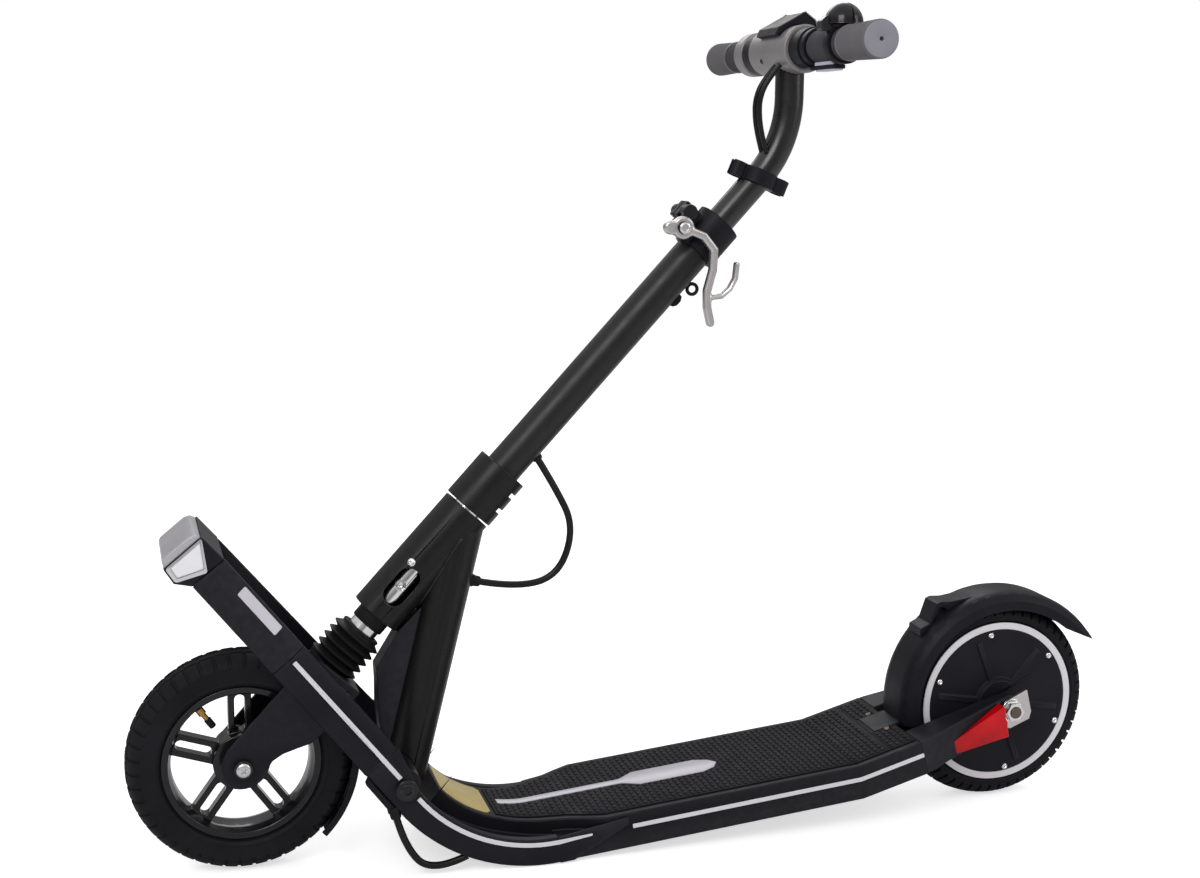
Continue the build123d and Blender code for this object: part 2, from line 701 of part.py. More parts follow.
def tyre(bead, half):
    """A round shouldered tyre with two grooves, seated on a bead radius."""
    low = bead + 2.8
    side = [(bead, half), (low, half), (low + 2, TYRE_HALF - 0.8), (low + 7, TYRE_HALF)]
    side += [(WHEEL_R - 8, TYRE_HALF - 3), (WHEEL_R - 3, TYRE_HALF - 8.5), (WHEEL_R - 0.6, TYRE_HALF - 16)]
    side += [(WHEEL_R - 2.4, TYRE_HALF - 16.6), (WHEEL_R - 2.4, TYRE_HALF - 18.6)]
    side += [(WHEEL_R, TYRE_HALF - 19.2)]
    return turned(side + mirrored(side))


parts["rear_tyre"] = REAR_AXLE * tyre(REAR_RIM_R, well - BEAD_FIT)

# Rear fender
FENDER_X = WHEELBASE + FENDER_BACK
FENDER_Z = WHEEL_R


def fender_point(angle, out):
    """Side coordinates over the fender's round."""
    reach = FENDER_R + out
    return (FENDER_X + reach * cos(radians(angle)), FENDER_Z + reach * sin(radians(angle)))


def fender_arc(centre_x, centre_z, radius, first, last):
    """A stretch of the fender: a domed channel with skirts, turned about a centre."""
    half = FENDER_HALF
    wall = FENDER_WALL
    outer = [(radius - FENDER_DEPTH, -half), (radius - 9, -half), (radius - 2.5, 6 - half),
             (radius, 15 - half)]
    hollow = [(radius - FENDER_DEPTH, half - wall), (radius - 8.2 - wall, half - wall),
              (radius - 2.4 - wall, half - 5.4 - wall), (radius - wall, half - 15.5)]
    line = outer + mirrored(outer) + hollow + mirrored(hollow)
    body = revolve(Plane.XZ * make_face(Polyline(*line, close=True)), Axis.Z, revolution_arc=last - first)
    return lateral(centre_x, centre_z) * Rot(0, 0, -last) * body


# the fender's foot is where its round meets the tail of the deck
foot_up = DECK_UP - FENDER_SUNK
centre_along = (FENDER_X - KICK_X) * cos(kick) + (FENDER_Z - KICK_Z) * sin(kick)
centre_up = (FENDER_Z - KICK_Z) * cos(kick) - (FENDER_X - KICK_X) * sin(kick)
foot_at = centre_along - sqrt(FENDER_R ** 2 - (foot_up - centre_up) ** 2)
foot_angle = 180 + degrees(kick - asin((foot_up - centre_up) / FENDER_R))
turn_x, turn_z = fender_point(FENDER_TURN, 0)
chord = hypot(TAIL_X - turn_x, TAIL_Z - turn_z)
drop = -degrees(atan2(TAIL_Z - turn_z, TAIL_X - turn_x)) - (90 - FENDER_TURN)
tail_r = chord / (2 * sin(radians(drop)))
tail_x = turn_x - tail_r * cos(radians(FENDER_TURN))
tail_z = turn_z - tail_r * sin(radians(FENDER_TURN))
fender = fender_arc(FENDER_X, FENDER_Z, FENDER_R, FENDER_TURN - 0.5, foot_angle)
tail = fender_arc(tail_x, tail_z, tail_r, FENDER_TURN - 2 * drop, FENDER_TURN)
below = TAIL_Z - 80
tail = tail - slab([(turn_x - 22, turn_z - 14), (TAIL_X + 3, TAIL_Z - 1), (TAIL_X + 3, below),
                    (turn_x - 22, below)], -2 * FENDER_HALF, 2 * FENDER_HALF)
foot_last = foot_at + 0.6
foot = slab([kick_point(foot_last - FOOT_LENGTH, DECK_UP), kick_point(foot_last, DECK_UP),
             kick_point(foot_last, DECK_UP + FOOT_THICK),
             kick_point(foot_last - FOOT_LENGTH, DECK_UP + FOOT_THICK)], -FOOT_HALF, FOOT_HALF)
parts["rear_fender"] = fender + tail + foot
loop_line = [(142.15, 2.2), (139.15, 6.9), (134.17, 2.7), (125.76, 14.3), (123.51, 13.1), (119.49, 6.95),
             (96.07, -1.8), (88.3, -0.95), (97.7, -27)]
slot_line = [(133.5, -0.1), (126.03, 9.2), (121.83, 4.2), (124.3, -7.4)]
loop = slab([fender_point(*p) for p in loop_line], -BRACKET_HALF, BRACKET_HALF)
loop = loop - slab([fender_point(*p) for p in slot_line], -2 * BRACKET_HALF, 2 * BRACKET_HALF)
loop = loop - lateral(FENDER_X, FENDER_Z) * rod(FENDER_R, -2 * BRACKET_HALF, 2 * BRACKET_HALF)
parts["fender_bracket"] = loop.solids()

# Fold hinge
bolt_head = rod(PIVOT_HEAD_R, -RAIL_HALF - PIVOT_HEAD, -RAIL_HALF)
bolt = rod(PIVOT_R, -RAIL_HALF, RAIL_HALF) + bolt_head + mirror(bolt_head, about=Plane.XY)
parts["fold_bolt"] = PIVOT * bolt
parts["hinge_block"] = PIVOT * ring(HINGE_TUBE_R, PIVOT_R + RUN_FIT, HINGE_GAP - floor_half,
                                    floor_half - HINGE_GAP)
hinge_line = [(KINK_AT - 3, -RAIL_DOWN), (KINK_AT - 6, -RAIL_DOWN - 6), (12, -RAIL_DOWN - 6.5),
              (3, -RAIL_DOWN)]
hinge_cover = slab([rail_point(*p) for p in hinge_line], RAIL_EDGE - RAIL_HALF, RAIL_WALL - RAIL_HALF)
hinge_covers = both(hinge_cover - left_rail)
parts["hinge_covers"] = hinge_covers

# Front arm
lean = radians(STRUT_ANGLE)
STRUT = Plane(origin=(STRUT_FOOT_X, 0, STRUT_FOOT_Z), x_dir=(sin(lean), 0, -cos(lean)),
              z_dir=(cos(lean), 0, sin(lean)))
# the strut runs up to where its axis meets the steering axis
meet_x = STRUT_FOOT_X - STEM_X
meet_z = STRUT_FOOT_Z - STEM_Z
STRUT_LENGTH = (meet_x * sin(steer) - meet_z * cos(steer)) / sin(lean - steer)
head_solid = STEM * rod(HEAD_R, HEAD_LOW - 60, HEAD_HIGH + 60)
hinge_solid = PIVOT * rod(HINGE_TUBE_R, -RAIL_HALF, RAIL_HALF)
strut = STRUT * (rod(STRUT_R, -STRUT_BELOW, STRUT_LENGTH) - rod(STRUT_BORE_R, STRUT_SOLID, STRUT_LENGTH + 5))
strut = strut - head_solid - hinge_solid - STEM * Pos(0, 0, HEAD_HIGH + 50) * Box(200, 200, 100)
parts["strut_tube"] = largest(strut)
gusset_line = [(-18.4, 160.7), (-38, 128.8), (-50.7, 89.7), (-45.9, 73.9), (-40.8, 52.5), (-30.4, 22.1),
               (-23.7, 11.4), (2.5, 17.7), (5.8, 154.2)]
gusset_face = make_face(Polyline(*gusset_line, close=True))
strut_side = Plane(origin=STRUT.origin, x_dir=STRUT.x_dir, z_dir=(0, -1, 0))
gusset = extrude(strut_side.offset(-GUSSET_HALF) * gusset_face, amount=2 * GUSSET_HALF)
gusset = gusset - STRUT * rod(STRUT_R, -STRUT_BELOW, STRUT_LENGTH) - hinge_solid - head_solid
parts["gusset"] = largest(gusset)
middle = (WINDOW_LOW + WINDOW_HIGH) / 2
slot = SlotOverall(WINDOW_HIGH - WINDOW_LOW, WINDOW_WIDTH)
slot = extrude(Plane.XZ * (Pos(-WINDOW_AHEAD, middle) * Rot(0, 0, 90) * slot), amount=HEAD_R + 5)
parts["head_tube"] = STEM * (ring(HEAD_R, HEAD_BORE_R, HEAD_LOW, HEAD_HIGH) - slot)
bearing = ring(HEAD_BORE_R, STANCHION_R + RUN_FIT, 0, HEAD_BEARING)
parts["head_bearings"] = [STEM * Pos(0, 0, HEAD_LOW) * bearing,
                          STEM * Pos(0, 0, HEAD_HIGH - HEAD_BEARING) * bearing]

# Steering column
stanchion = rod(STANCHION_R, STANCHION_LOW, STEM_LOW) - rod(STANCHION_BORE_R, STANCHION_LOW - 1, SPRING_TOP)
stanchion = stanchion - Pos(-WINDOW_AHEAD, -STANCHION_R, middle) * Sphere(STANCHION_DIMPLE_R)
parts["stanchion"] = STEM * stanchion
collar_length = COLLAR_HIGH - COLLAR_LOW
collar = rod(COLLAR_R, COLLAR_LOW, COLLAR_HIGH) - rod(STANCHION_R, COLLAR_LOW - 1, STEM_LOW)
collar = collar - rod(STEM_R, STEM_LOW, COLLAR_HIGH + 1)
collar_split = Box(20, COLLAR_SPLIT, collar_length + 2)
collar = collar - Pos(COLLAR_R - 6.6, 0, (COLLAR_LOW + COLLAR_HIGH) / 2) * collar_split
for height in (COLLAR_LOW + 0.34 * collar_length, COLLAR_LOW + 0.71 * collar_length):
    collar = collar - Pos(COLLAR_R - 3, 0, height) * Box(12, 3 * COLLAR_R, COLLAR_SLOT)
parts["clamp_collar"] = STEM * collar
parts["stem_tube"] = STEM * ring(STEM_R, STEM_BORE_R, STEM_LOW, STEM_HIGH)
clamp = rod(CLAMP_R, CLAMP_LOW, CLAMP_HIGH)
clamp = clamp + Pos(6 - SKEWER_AHEAD, 0, SKEWER_T) * Box(24, 2 * CLAMP_EAR_HALF, 18)
clamp = clamp + Pos(5.5 - LEVER_AHEAD, -12, LEVER_T) * Box(23, 20, 12)
clamp = clamp - rod(STEM_R, CLAMP_LOW - 9, STEM_HIGH)
clamp = clamp - rod(UPPER_R + UPPER_FIT, STEM_HIGH - 1, CLAMP_HIGH + 1)
clamp = clamp - Pos(5 - SKEWER_AHEAD, 0, SKEWER_T) * Box(40, CLAMP_SPLIT, 2 * (CLAMP_HIGH - CLAMP_LOW))
skewer_x, skewer_z = stem_point(-SKEWER_AHEAD, SKEWER_T)
SKEWER = lateral(skewer_x, skewer_z)
lever_x, lever_z = stem_point(-LEVER_AHEAD, LEVER_T)
LEVER = lateral(lever_x, lever_z)
clamp = STEM * clamp - SKEWER * rod(SKEWER_R, LEVER_NEAR, -LEVER_NEAR)
clamp = clamp + LEVER * (rod(LEVER_PIN_R, LEVER_NEAR - 3, 5 + LEVER_FAR)
                         + rod(LEVER_PIN_R + 2, LEVER_NEAR - 3.5, LEVER_NEAR - 0.5))
parts["height_clamp"] = largest(clamp)
ear = CLAMP_EAR_HALF
parts["clamp_skewer"] = SKEWER * (rod(SKEWER_R, -ear - 13, ear + 7) + rod(SKEWER_NUT_R, -ear - 13, -ear)
                                  + rod(SKEWER_NUT_R - 0.5, ear, ear + 7))


def ribbon(points, width):
    """A flat band of even width through points."""
    face = None
    for first, last in zip(points, points[1:]):
        mid = ((first[0] + last[0]) / 2, (first[1] + last[1]) / 2)
        run = hypot(last[0] - first[0], last[1] - first[1])
        turn = degrees(atan2(last[1] - first[1], last[0] - first[0]))
        piece = Pos(*mid) * Rot(0, 0, turn) * SlotCenterToCenter(run, width)
        face = piece if face is None else face + piece
    return face


# the lever's outline, from its pivot
lever_line = [(0, 0), (21.4, 8.4), (38.4, 5.9), (50.9, -9.3), (60.4, -27.6), (71.9, -39.6), (84.4, -48.1)]
hook_line = [(65.4, -32.6), (74.9, -21.6), (76.4, -10.6), (73.7, 0.4), (65.4, 11.4)]
lever = ribbon(lever_line, LEVER_WIDTH) + ribbon(hook_line, LEVER_HOOK_WIDTH)
lever = lever + ribbon([(0, 0), (-9.6, -8.6)], LEVER_NOSE_WIDTH) + Circle(LEVER_EYE_R)
lever_side = Plane(origin=(lever_x, 0, lever_z), x_dir=STEM.x_dir, z_dir=(0, -1, 0))
lever = extrude(lever_side.offset(-LEVER_FAR) * lever, amount=LEVER_FAR - LEVER_NEAR)
parts["clamp_lever"] = lever - LEVER * rod(LEVER_PIN_R + RUN_FIT, LEVER_NEAR - 5, 5 + LEVER_FAR)

# Fork
leg_line = [(-29, 2), (-29, 84), (-17, WHEEL_R + CROWN_LOW), (31, WHEEL_R + CROWN_LOW), (29, 66), (27, 56),
            (20, 44.5), (13.5, 33), (10.5, 22), (12.5, 8), (-7, -18), (-24, -12)]
leg = slab([stem_point(across, along - WHEEL_R) for across, along in leg_line], -LEG_OUTER, -LEG_INNER)
leg = leg + FRONT_AXLE * rod(LEG_EYE_R, -LEG_OUTER, -LEG_INNER)
leg = leg - FRONT_AXLE * rod(FRONT_AXLE_R, -2 * LEG_OUTER, 2 * LEG_OUTER)
parts["fork_legs"] = both(leg)
crown_block = Box(CROWN_LENGTH, 2 * LEG_OUTER, CROWN_HIGH - CROWN_LOW)
crown = Pos(CROWN_BACK, 0, (CROWN_LOW + CROWN_HIGH) / 2) * crown_block
spring_seat = CROWN_LOW + SLEEVE_FLOOR
crown = crown + rod(SLEEVE_R, CROWN_LOW, SLEEVE_TOP)
crown = crown - rod(STANCHION_R + RUN_FIT, spring_seat, SLEEVE_TOP + 1)
parts["fork_crown"] = STEM * crown
collar_low = BOOT_TOP - BOOT_COLLAR
fold = (collar_low - CROWN_HIGH) / BOOT_FOLDS
skin = []
lining = []
for index in range(BOOT_FOLDS):
    low = CROWN_HIGH + index * fold
    skin += [(BOOT_ROOT_R, low), (BOOT_R, low + 0.32 * fold), (BOOT_R, low + 0.68 * fold)]
    lining += [(BOOT_ROOT_R - BOOT_WALL, low), (BOOT_R - BOOT_WALL, low + 0.34 * fold),
               (BOOT_R - BOOT_WALL, low + 0.66 * fold)]
skin += [(BOOT_ROOT_R, collar_low), (BOOT_ROOT_R, BOOT_TOP), (STANCHION_R + BOOT_FIT, BOOT_TOP)]
skin += [(STANCHION_R + BOOT_FIT, collar_low), (BOOT_ROOT_R - BOOT_WALL, collar_low)]
parts["boot"] = STEM * turned(skin + lining[::-1])
coil_low = spring_seat + SPRING_WIRE_R + SPRING_FIT
pitch = (SPRING_TOP - SPRING_FIT - SPRING_WIRE_R - coil_low) / SPRING_TURNS
helix = Helix(pitch=pitch, height=pitch * SPRING_TURNS, radius=SPRING_R)
wire = Plane(origin=helix @ 0, z_dir=helix % 0) * Circle(SPRING_WIRE_R)
parts["fork_spring"] = STEM * Pos(0, 0, coil_low) * sweep(wire, path=helix, is_frenet=True)
guard_low = GUARD_R - GUARD_DEPTH
guard_out = [(guard_low, -GUARD_HALF), (GUARD_R - 2, -GUARD_HALF), (GUARD_R, 7 - GUARD_HALF)]
guard_in = [(guard_low, GUARD_HALF - GUARD_WALL), (GUARD_R - 1.4 - GUARD_WALL, GUARD_HALF - GUARD_WALL),
            (GUARD_R - GUARD_WALL, GUARD_HALF - 8)]
guard_line = guard_out + mirrored(guard_out) + guard_in + mirrored(guard_in)
guard = revolve(Plane.XZ * make_face(Polyline(*guard_line, close=True)), Axis.Z,
                revolution_arc=GUARD_HIGH - GUARD_LOW)
parts["front_mudguard"] = FRONT_AXLE * Rot(0, 0, -GUARD_HIGH) * guard - parts["fork_crown"]
axle_head = rod(AXLE_HEAD_R, LEG_OUTER, LEG_OUTER + AXLE_HEAD)
parts["front_axle"] = FRONT_AXLE * (rod(FRONT_AXLE_R, -LEG_OUTER, LEG_OUTER) + axle_head
                                    + mirror(axle_head, about=Plane.XY))

# Front wheel
flange = FRONT_RIM_R + FLANGE_HEIGHT
front_well = FRONT_RIM_HALF - BEAD_LIP
rim_half = [(RIM_OPENING_R, -FRONT_WELL_HALF), (RIM_OPENING_R + 3.5, -FRONT_RIM_HALF),
            (flange, -FRONT_RIM_HALF), (flange, -front_well), (FRONT_RIM_R, -front_well)]
rim = turned(rim_half + mirrored(rim_half))
spoke_first = FRONT_HUB_R - 3
spoke_length = RIM_OPENING_R + 2 - spoke_first
spoke_pair = Pos(spoke_first + spoke_length / 2, 0, 0) * Box(spoke_length, SPOKE_PAIR_WIDTH, SPOKE_DEPTH)
spoke_gap = SlotOverall(RIM_OPENING_R - FRONT_HUB_R - 3, SPOKE_SLOT_WIDTH)
spoke_gap = extrude(spoke_gap, amount=2 * SPOKE_DEPTH)
spoke_gap = Pos((FRONT_HUB_R + RIM_OPENING_R) / 2, 0, -SPOKE_DEPTH) * spoke_gap
for index in range(SPOKE_PAIRS):
    rim = rim + Rot(0, 0, SPOKE_TURN + 360 / SPOKE_PAIRS * index) * (spoke_pair - spoke_gap)
rim = rim + rod(FRONT_HUB_R, -FRONT_HUB_HALF, FRONT_HUB_HALF)
rim = rim - rod(BEARING_R, -2 * FRONT_HUB_HALF, 2 * FRONT_HUB_HALF)
parts["front_rim"] = FRONT_AXLE * rim
wheel_bearing = ring(BEARING_R, FRONT_AXLE_R + RUN_FIT, FRONT_HUB_HALF - BEARING_WIDTH, FRONT_HUB_HALF)
parts["front_bearings"] = both(FRONT_AXLE * wheel_bearing)
parts["front_tyre"] = FRONT_AXLE * tyre(FRONT_RIM_R, front_well - BEAD_FIT)
valve = rod(VALVE_BASE_R, 0, VALVE_BASE) + rod(VALVE_R, 0, VALVE_LENGTH)
valve = Rot(0, 0, VALVE_TURN) * Pos(RIM_OPENING_R, 0, VALVE_SIDE) * Rot(0, -90, 0) * valve
parts["valve_stem"] = FRONT_AXLE * (valve - rim)

# Upper stem
reach = UPPER_BEND_R * tan(radians(90 - STEER_ANGLE) / 2)
low_x, low_z = stem_point(0, UPPER_LOW)
first_x, first_z = stem_point(0, UPPER_BEND_T - reach)
line_low = Line((low_x, 0, low_z), (first_x, 0, first_z))
line_arc = TangentArc((first_x, 0, first_z), (corner_x, 0, corner_z + reach),
                      tangent=(cos(steer), 0, sin(steer)))
line_up = Line((corner_x, 0, corner_z + reach), (corner_x, 0, BAR_Z))
upper_path = Wire([line_low.edge(), line_arc.edge(), line_up.edge()])
upper_plane = Plane(origin=(low_x, 0, low_z), x_dir=STEM.x_dir, z_dir=STEM.z_dir)
upper_solid = sweep(upper_plane * Circle(UPPER_R), path=upper_path)
hub_solid = BAR * rod(HUB_R, HUB_LEFT, HUB_RIGHT)
upper = upper_solid - sweep(upper_plane * Circle(UPPER_BORE_R), path=upper_path) - hub_solid
parts["upper_stem_tube"] = largest(upper)
parts["bar_hub"] = hub_solid - BAR * rod(BAR_R, -BAR_HALF, BAR_HALF)
parts["handlebar"] = BAR * ring(BAR_R, BAR_R - BAR_WALL, -BAR_HALF, BAR_HALF)

# Fittings along the bar, from the hub outward
left_clamp = HUB_LEFT - SIDE_GAP - LEFT_CLAMP_WIDTH
throttle_in = left_clamp - THROTTLE_GAP
throttle_out = throttle_in - THROTTLE_WIDTH
left_grip = throttle_out - SIDE_GAP - LEFT_GRIP_LENGTH
right_clamp = HUB_RIGHT + SIDE_GAP + RIGHT_CLAMP_WIDTH
right_flange = right_clamp + FLANGE_GAP + FLANGE_WIDTH
right_grip = right_flange + RIGHT_GRIP_LENGTH
parts["bar_clamps"] = [BAR * ring(LEFT_CLAMP_R, BAR_R, left_clamp, HUB_LEFT - SIDE_GAP),
                       BAR * ring(RIGHT_CLAMP_R, BAR_R, HUB_RIGHT + SIDE_GAP, right_clamp)]
parts["right_flange"] = BAR * ring(FLANGE_R, BAR_R, right_clamp + FLANGE_GAP, right_flange)
parts["grips"] = [BAR * ring(GRIP_R, BAR_R, left_grip, throttle_out - SIDE_GAP),
                  BAR * ring(GRIP_R, BAR_R, right_flange, right_grip)]
left_end = ring(GRIP_END_R, BAR_R, -BAR_HALF, left_grip) + rod(GRIP_END_R, -BAR_HALF - GRIP_CAP, -BAR_HALF)
right_end = ring(GRIP_END_R, BAR_R, right_grip, BAR_HALF) + rod(GRIP_END_R, BAR_HALF, BAR_HALF + GRIP_CAP)
parts["grip_ends"] = [BAR * left_end, BAR * right_end]
paddle = rod(THROTTLE_R, throttle_out, throttle_in)
paddle_root = Box(10, 11, THROTTLE_WIDTH - 1.5)
paddle = paddle + Pos(0, PADDLE_DROP - 4.5, (throttle_in + throttle_out) / 2) * paddle_root
blade = Box(PADDLE_WIDTH, PADDLE_THICK, PADDLE_LENGTH)
paddle = paddle + Pos(0, PADDLE_DROP, throttle_in - PADDLE_LENGTH / 2) * blade
parts["throttle_lever"] = BAR * (paddle - rod(BAR_R + RUN_FIT, throttle_out - 5, throttle_in + 5))
display_line = [(-24.5, 14), (-21.5, 21), (5.5, 36), (16.5, 28), (20.5, 12), (-0.5, 5)]
display = slab([(BAR_X + x, BAR_Z + z) for x, z in display_line], DISPLAY_LEFT, DISPLAY_RIGHT) - hub_solid
parts["display"] = largest(display)
bell_y = left_grip + BELL_IN
dome = BELL_TOP - BELL_FOOT - 5
bell_line = [(0, BAR_Z + BELL_FOOT - 6), (BELL_R, BAR_Z + BELL_FOOT)]
for index in range(6):
    rise = radians(90 * index / 6)
    bell_line.append((BELL_R * cos(rise), BAR_Z + BELL_TOP - dome * (1 - sin(rise))))
bell = Pos(BAR_X, bell_y, 0) * turned(bell_line + [(0, BAR_Z + BELL_TOP)])
bell = bell + BAR * Pos(0, 0, bell_y - 1.5) * rod(BELL_BAND_R, -BELL_BAND_WIDTH / 2, BELL_BAND_WIDTH / 2)
parts["bell"] = bell - BAR * rod(GRIP_R, -THROUGH, 0)
clip_middle = (CLIP_LOW + CLIP_HIGH) / 2
clip_half = (CLIP_HIGH - CLIP_LOW) / 2
clip = rod(CLIP_R, -clip_half, clip_half)
for side in (-1, 1):
    clip = clip + Pos(side * CLIP_WING_AT, 0, 0) * ring(CLIP_WING_R, CLIP_WING_BORE_R, -clip_half, clip_half)
    mouth = Box(CLIP_WING_R + 1, CLIP_MOUTH, 3 * clip_half)
    clip = clip - Pos(side * (CLIP_WING_AT + CLIP_WING_R - 1), 0, 0) * mouth
parts["stem_clip"] = STEM * Pos(0, 0, clip_middle) * Rot(0, -CLIP_TILT, 0) * clip - upper_solid

# Cables
bar_line = [(531, -14, 770), (518, -14, 755), (511, -13, 737), (512, -11.5, 718), (516, -10, 701),
            (521, -8.5, 686)]
bar_cables = []
for forward, aside in ((0, 0), (1.5, 8.5)):
    line = [(x - forward, y + aside, z) for x, y, z in bar_line]
    bar_cables.append(largest(cord(line, BAR_CABLE_R) - hub_solid - upper_solid))
parts["bar_cables"] = bar_cables
upper_line = [(289, 394), (311, 358.5), (331, 317), (314.5, 267.5), (268, 259), (226.5, 269.3)]
upper_loop = cord([(x, 0, z) for x, z in upper_line], LOOP_R)
upper_loop = upper_loop - STEM * rod(STEM_R + LOOP_FIT, STEM_LOW, STEM_HIGH)
upper_loop = upper_loop - STRUT * rod(STRUT_R, 0, STRUT_LENGTH)
parts["upper_cable"] = largest(upper_loop)
lower_line = [(136.5, 69), (145, 33), (172, 1.5), (207, 16)]
lower_loop = cord([(x, -73.5, z) for x, z in lower_line], LOOP_R) - left_rail - hinge_covers[0]
parts["lower_cable"] = largest(lower_loop)

os.makedirs("parts", exist_ok=True)
for name, body in parts.items():
    pieces = body if isinstance(body, (list, tuple)) else [body]
    solids = []
    for piece in pieces:
        solids += list(piece.solids())
    moved = [Pos(-X_SHIFT, 0, 0) * solid for solid in solids]
    export_step(moved[0] if len(moved) == 1 else Compound(moved), f"parts/{name}.step")
    print(name, len(moved))
print("x shift", X_SHIFT, "stem", STEM_X, STEM_Z, "lever", lever_x, lever_z, "bar", BAR_X, BAR_Z)
print("kick", KICK_X, KICK_Z, KICK_AT, degrees(kick), "tail", DECK_TAIL, "foot", foot_at, foot_angle)
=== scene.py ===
"""Looks of the half-folded electric kick scooter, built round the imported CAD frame.

The frame is in metres: x runs rearward, y to the scooter's right and z up from the ground.
Sizes here are written in millimetres from the front axle's foot and turned into metres by spot() and MM.
"""
import json
import math

import bmesh
import bpy
from mathutils import Matrix, Vector


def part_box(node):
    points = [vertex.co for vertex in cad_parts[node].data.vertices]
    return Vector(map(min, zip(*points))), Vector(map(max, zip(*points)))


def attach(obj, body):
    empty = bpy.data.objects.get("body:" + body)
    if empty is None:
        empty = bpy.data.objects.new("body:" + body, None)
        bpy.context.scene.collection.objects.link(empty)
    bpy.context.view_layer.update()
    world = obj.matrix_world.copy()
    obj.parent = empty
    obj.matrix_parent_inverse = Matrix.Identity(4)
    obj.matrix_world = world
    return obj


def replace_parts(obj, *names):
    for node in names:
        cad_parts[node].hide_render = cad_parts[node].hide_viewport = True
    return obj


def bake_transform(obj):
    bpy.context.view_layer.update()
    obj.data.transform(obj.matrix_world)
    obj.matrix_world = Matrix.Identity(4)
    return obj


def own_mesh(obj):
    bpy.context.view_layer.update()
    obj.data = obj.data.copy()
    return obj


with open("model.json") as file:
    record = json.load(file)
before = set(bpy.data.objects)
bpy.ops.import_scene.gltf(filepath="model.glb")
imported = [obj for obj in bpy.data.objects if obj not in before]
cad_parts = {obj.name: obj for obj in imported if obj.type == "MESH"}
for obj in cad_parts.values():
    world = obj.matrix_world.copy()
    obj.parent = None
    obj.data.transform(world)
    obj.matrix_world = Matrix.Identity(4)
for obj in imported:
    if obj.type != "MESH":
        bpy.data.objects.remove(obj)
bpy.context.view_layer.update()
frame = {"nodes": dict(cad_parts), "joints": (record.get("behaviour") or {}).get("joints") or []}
NODES = frame["nodes"]
JOINTS = {joint["name"]: joint for joint in frame["joints"]}
MM = 0.001
UP = Vector((0, 0, 1))
ACROSS = Vector((0, 1, 0))

# Camera of the photograph: sizes in pixels, place in millimetres, yaw, pitch and roll in degrees
PHOTO_WIDTH = 1200
FOCAL_PIXELS = 1740.964
SENSOR = 36.0
CAMERA_PLACE = (-108.174, -1632.955, 690.403)
CAMERA_TURNS = (15.8812, 9.5450, 0.5550)
CAMERA_CLIP = (0.05, 50)


def axes(origin, x_dir, z_dir):
    """A placing matrix from an origin and two directions."""
    z = Vector(z_dir).normalized()
    x = Vector(x_dir).normalized()
    placed = Matrix((x, z.cross(x), z)).transposed().to_4x4()
    placed.translation = origin
    return placed


def joint_place(name):
    return Vector(JOINTS[name]["pos_m"])


def middle(node):
    low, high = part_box(node)
    return (low + high) / 2


FRONT = axes(joint_place("front_wheel_spin"), (1, 0, 0), ACROSS)
REAR = axes(joint_place("rear_wheel_spin"), (1, 0, 0), ACROSS)
STEM_DIR = Vector(JOINTS["steer"]["axis"]).normalized()
STEM = axes(joint_place("steer"), (STEM_DIR.z, 0, -STEM_DIR.x), STEM_DIR)
BAR = axes(middle("handlebar"), (1, 0, 0), ACROSS)
AXLE_X = FRONT.translation.x


def spot(x, y, z):
    """A place given in millimetres from the foot of the front axle."""
    return Vector((AXLE_X + x * MM, y * MM, z * MM))


def on_stem(across, y, along):
    """A place in steering column coordinates, in millimetres."""
    return STEM @ Vector((across * MM, y * MM, along * MM))


def added(name, data):
    """A new object of the scene."""
    made = bpy.data.objects.new(name, data)
    bpy.context.scene.collection.objects.link(made)
    return made


# Shader helpers
def set_inputs(node, **values):
    """Sets a shader node's inputs by name, with _ for a space."""
    for socket, value in values.items():
        node.inputs[socket.replace("_", " ")].default_value = value
    return node


def shader_node(tree, kind, **values):
    return set_inputs(tree.nodes.new("ShaderNode" + kind), **values)


def maths(tree, operation, first, second):
    """The result of an operation on a socket and another socket or a number."""
    made = shader_node(tree, "Math")
    made.operation = operation
    tree.links.new(first, made.inputs[0])
    if isinstance(second, float):
        made.inputs[1].default_value = second
    else:
        tree.links.new(second, made.inputs[1])
    return made.outputs[0]


def new_material(name):
    """A new material, its node tree and its main shader."""
    material = bpy.data.materials.new(name)
    material.use_nodes = True
    return material, material.node_tree, material.node_tree.nodes["Principled BSDF"]


# Camera, floor and light. Glossy rays see a studio that is dark at the horizon and pale above.
AMBIENT = 0.5
MIRRORED_LOW = 0.2
MIRRORED_HIGH = 0.9
MIRRORED_RISE = 0.85
WHITE = (1, 1, 1, 1)
FLOOR_HALF = 30
FLOOR_DROP = 0.4
FLOOR_COLOUR = (0.86, 0.86, 0.87, 1)
FLOOR_GLOW = 0.62
# Each lamp's place, aim, size and power
LAMPS = {
    "key": ((-1.6, -2.2, 2.4), (0, 0, 0.35), (1.6, 1.2), 34),
    "fill": ((2.4, -1.6, 1.6), (0, 0, 0.3), (1.2, 1.6), 16),
    "back": ((0.4, 2.4, 2.2), (0, 0, 0.3), (2.0, 1.0), 20),
}


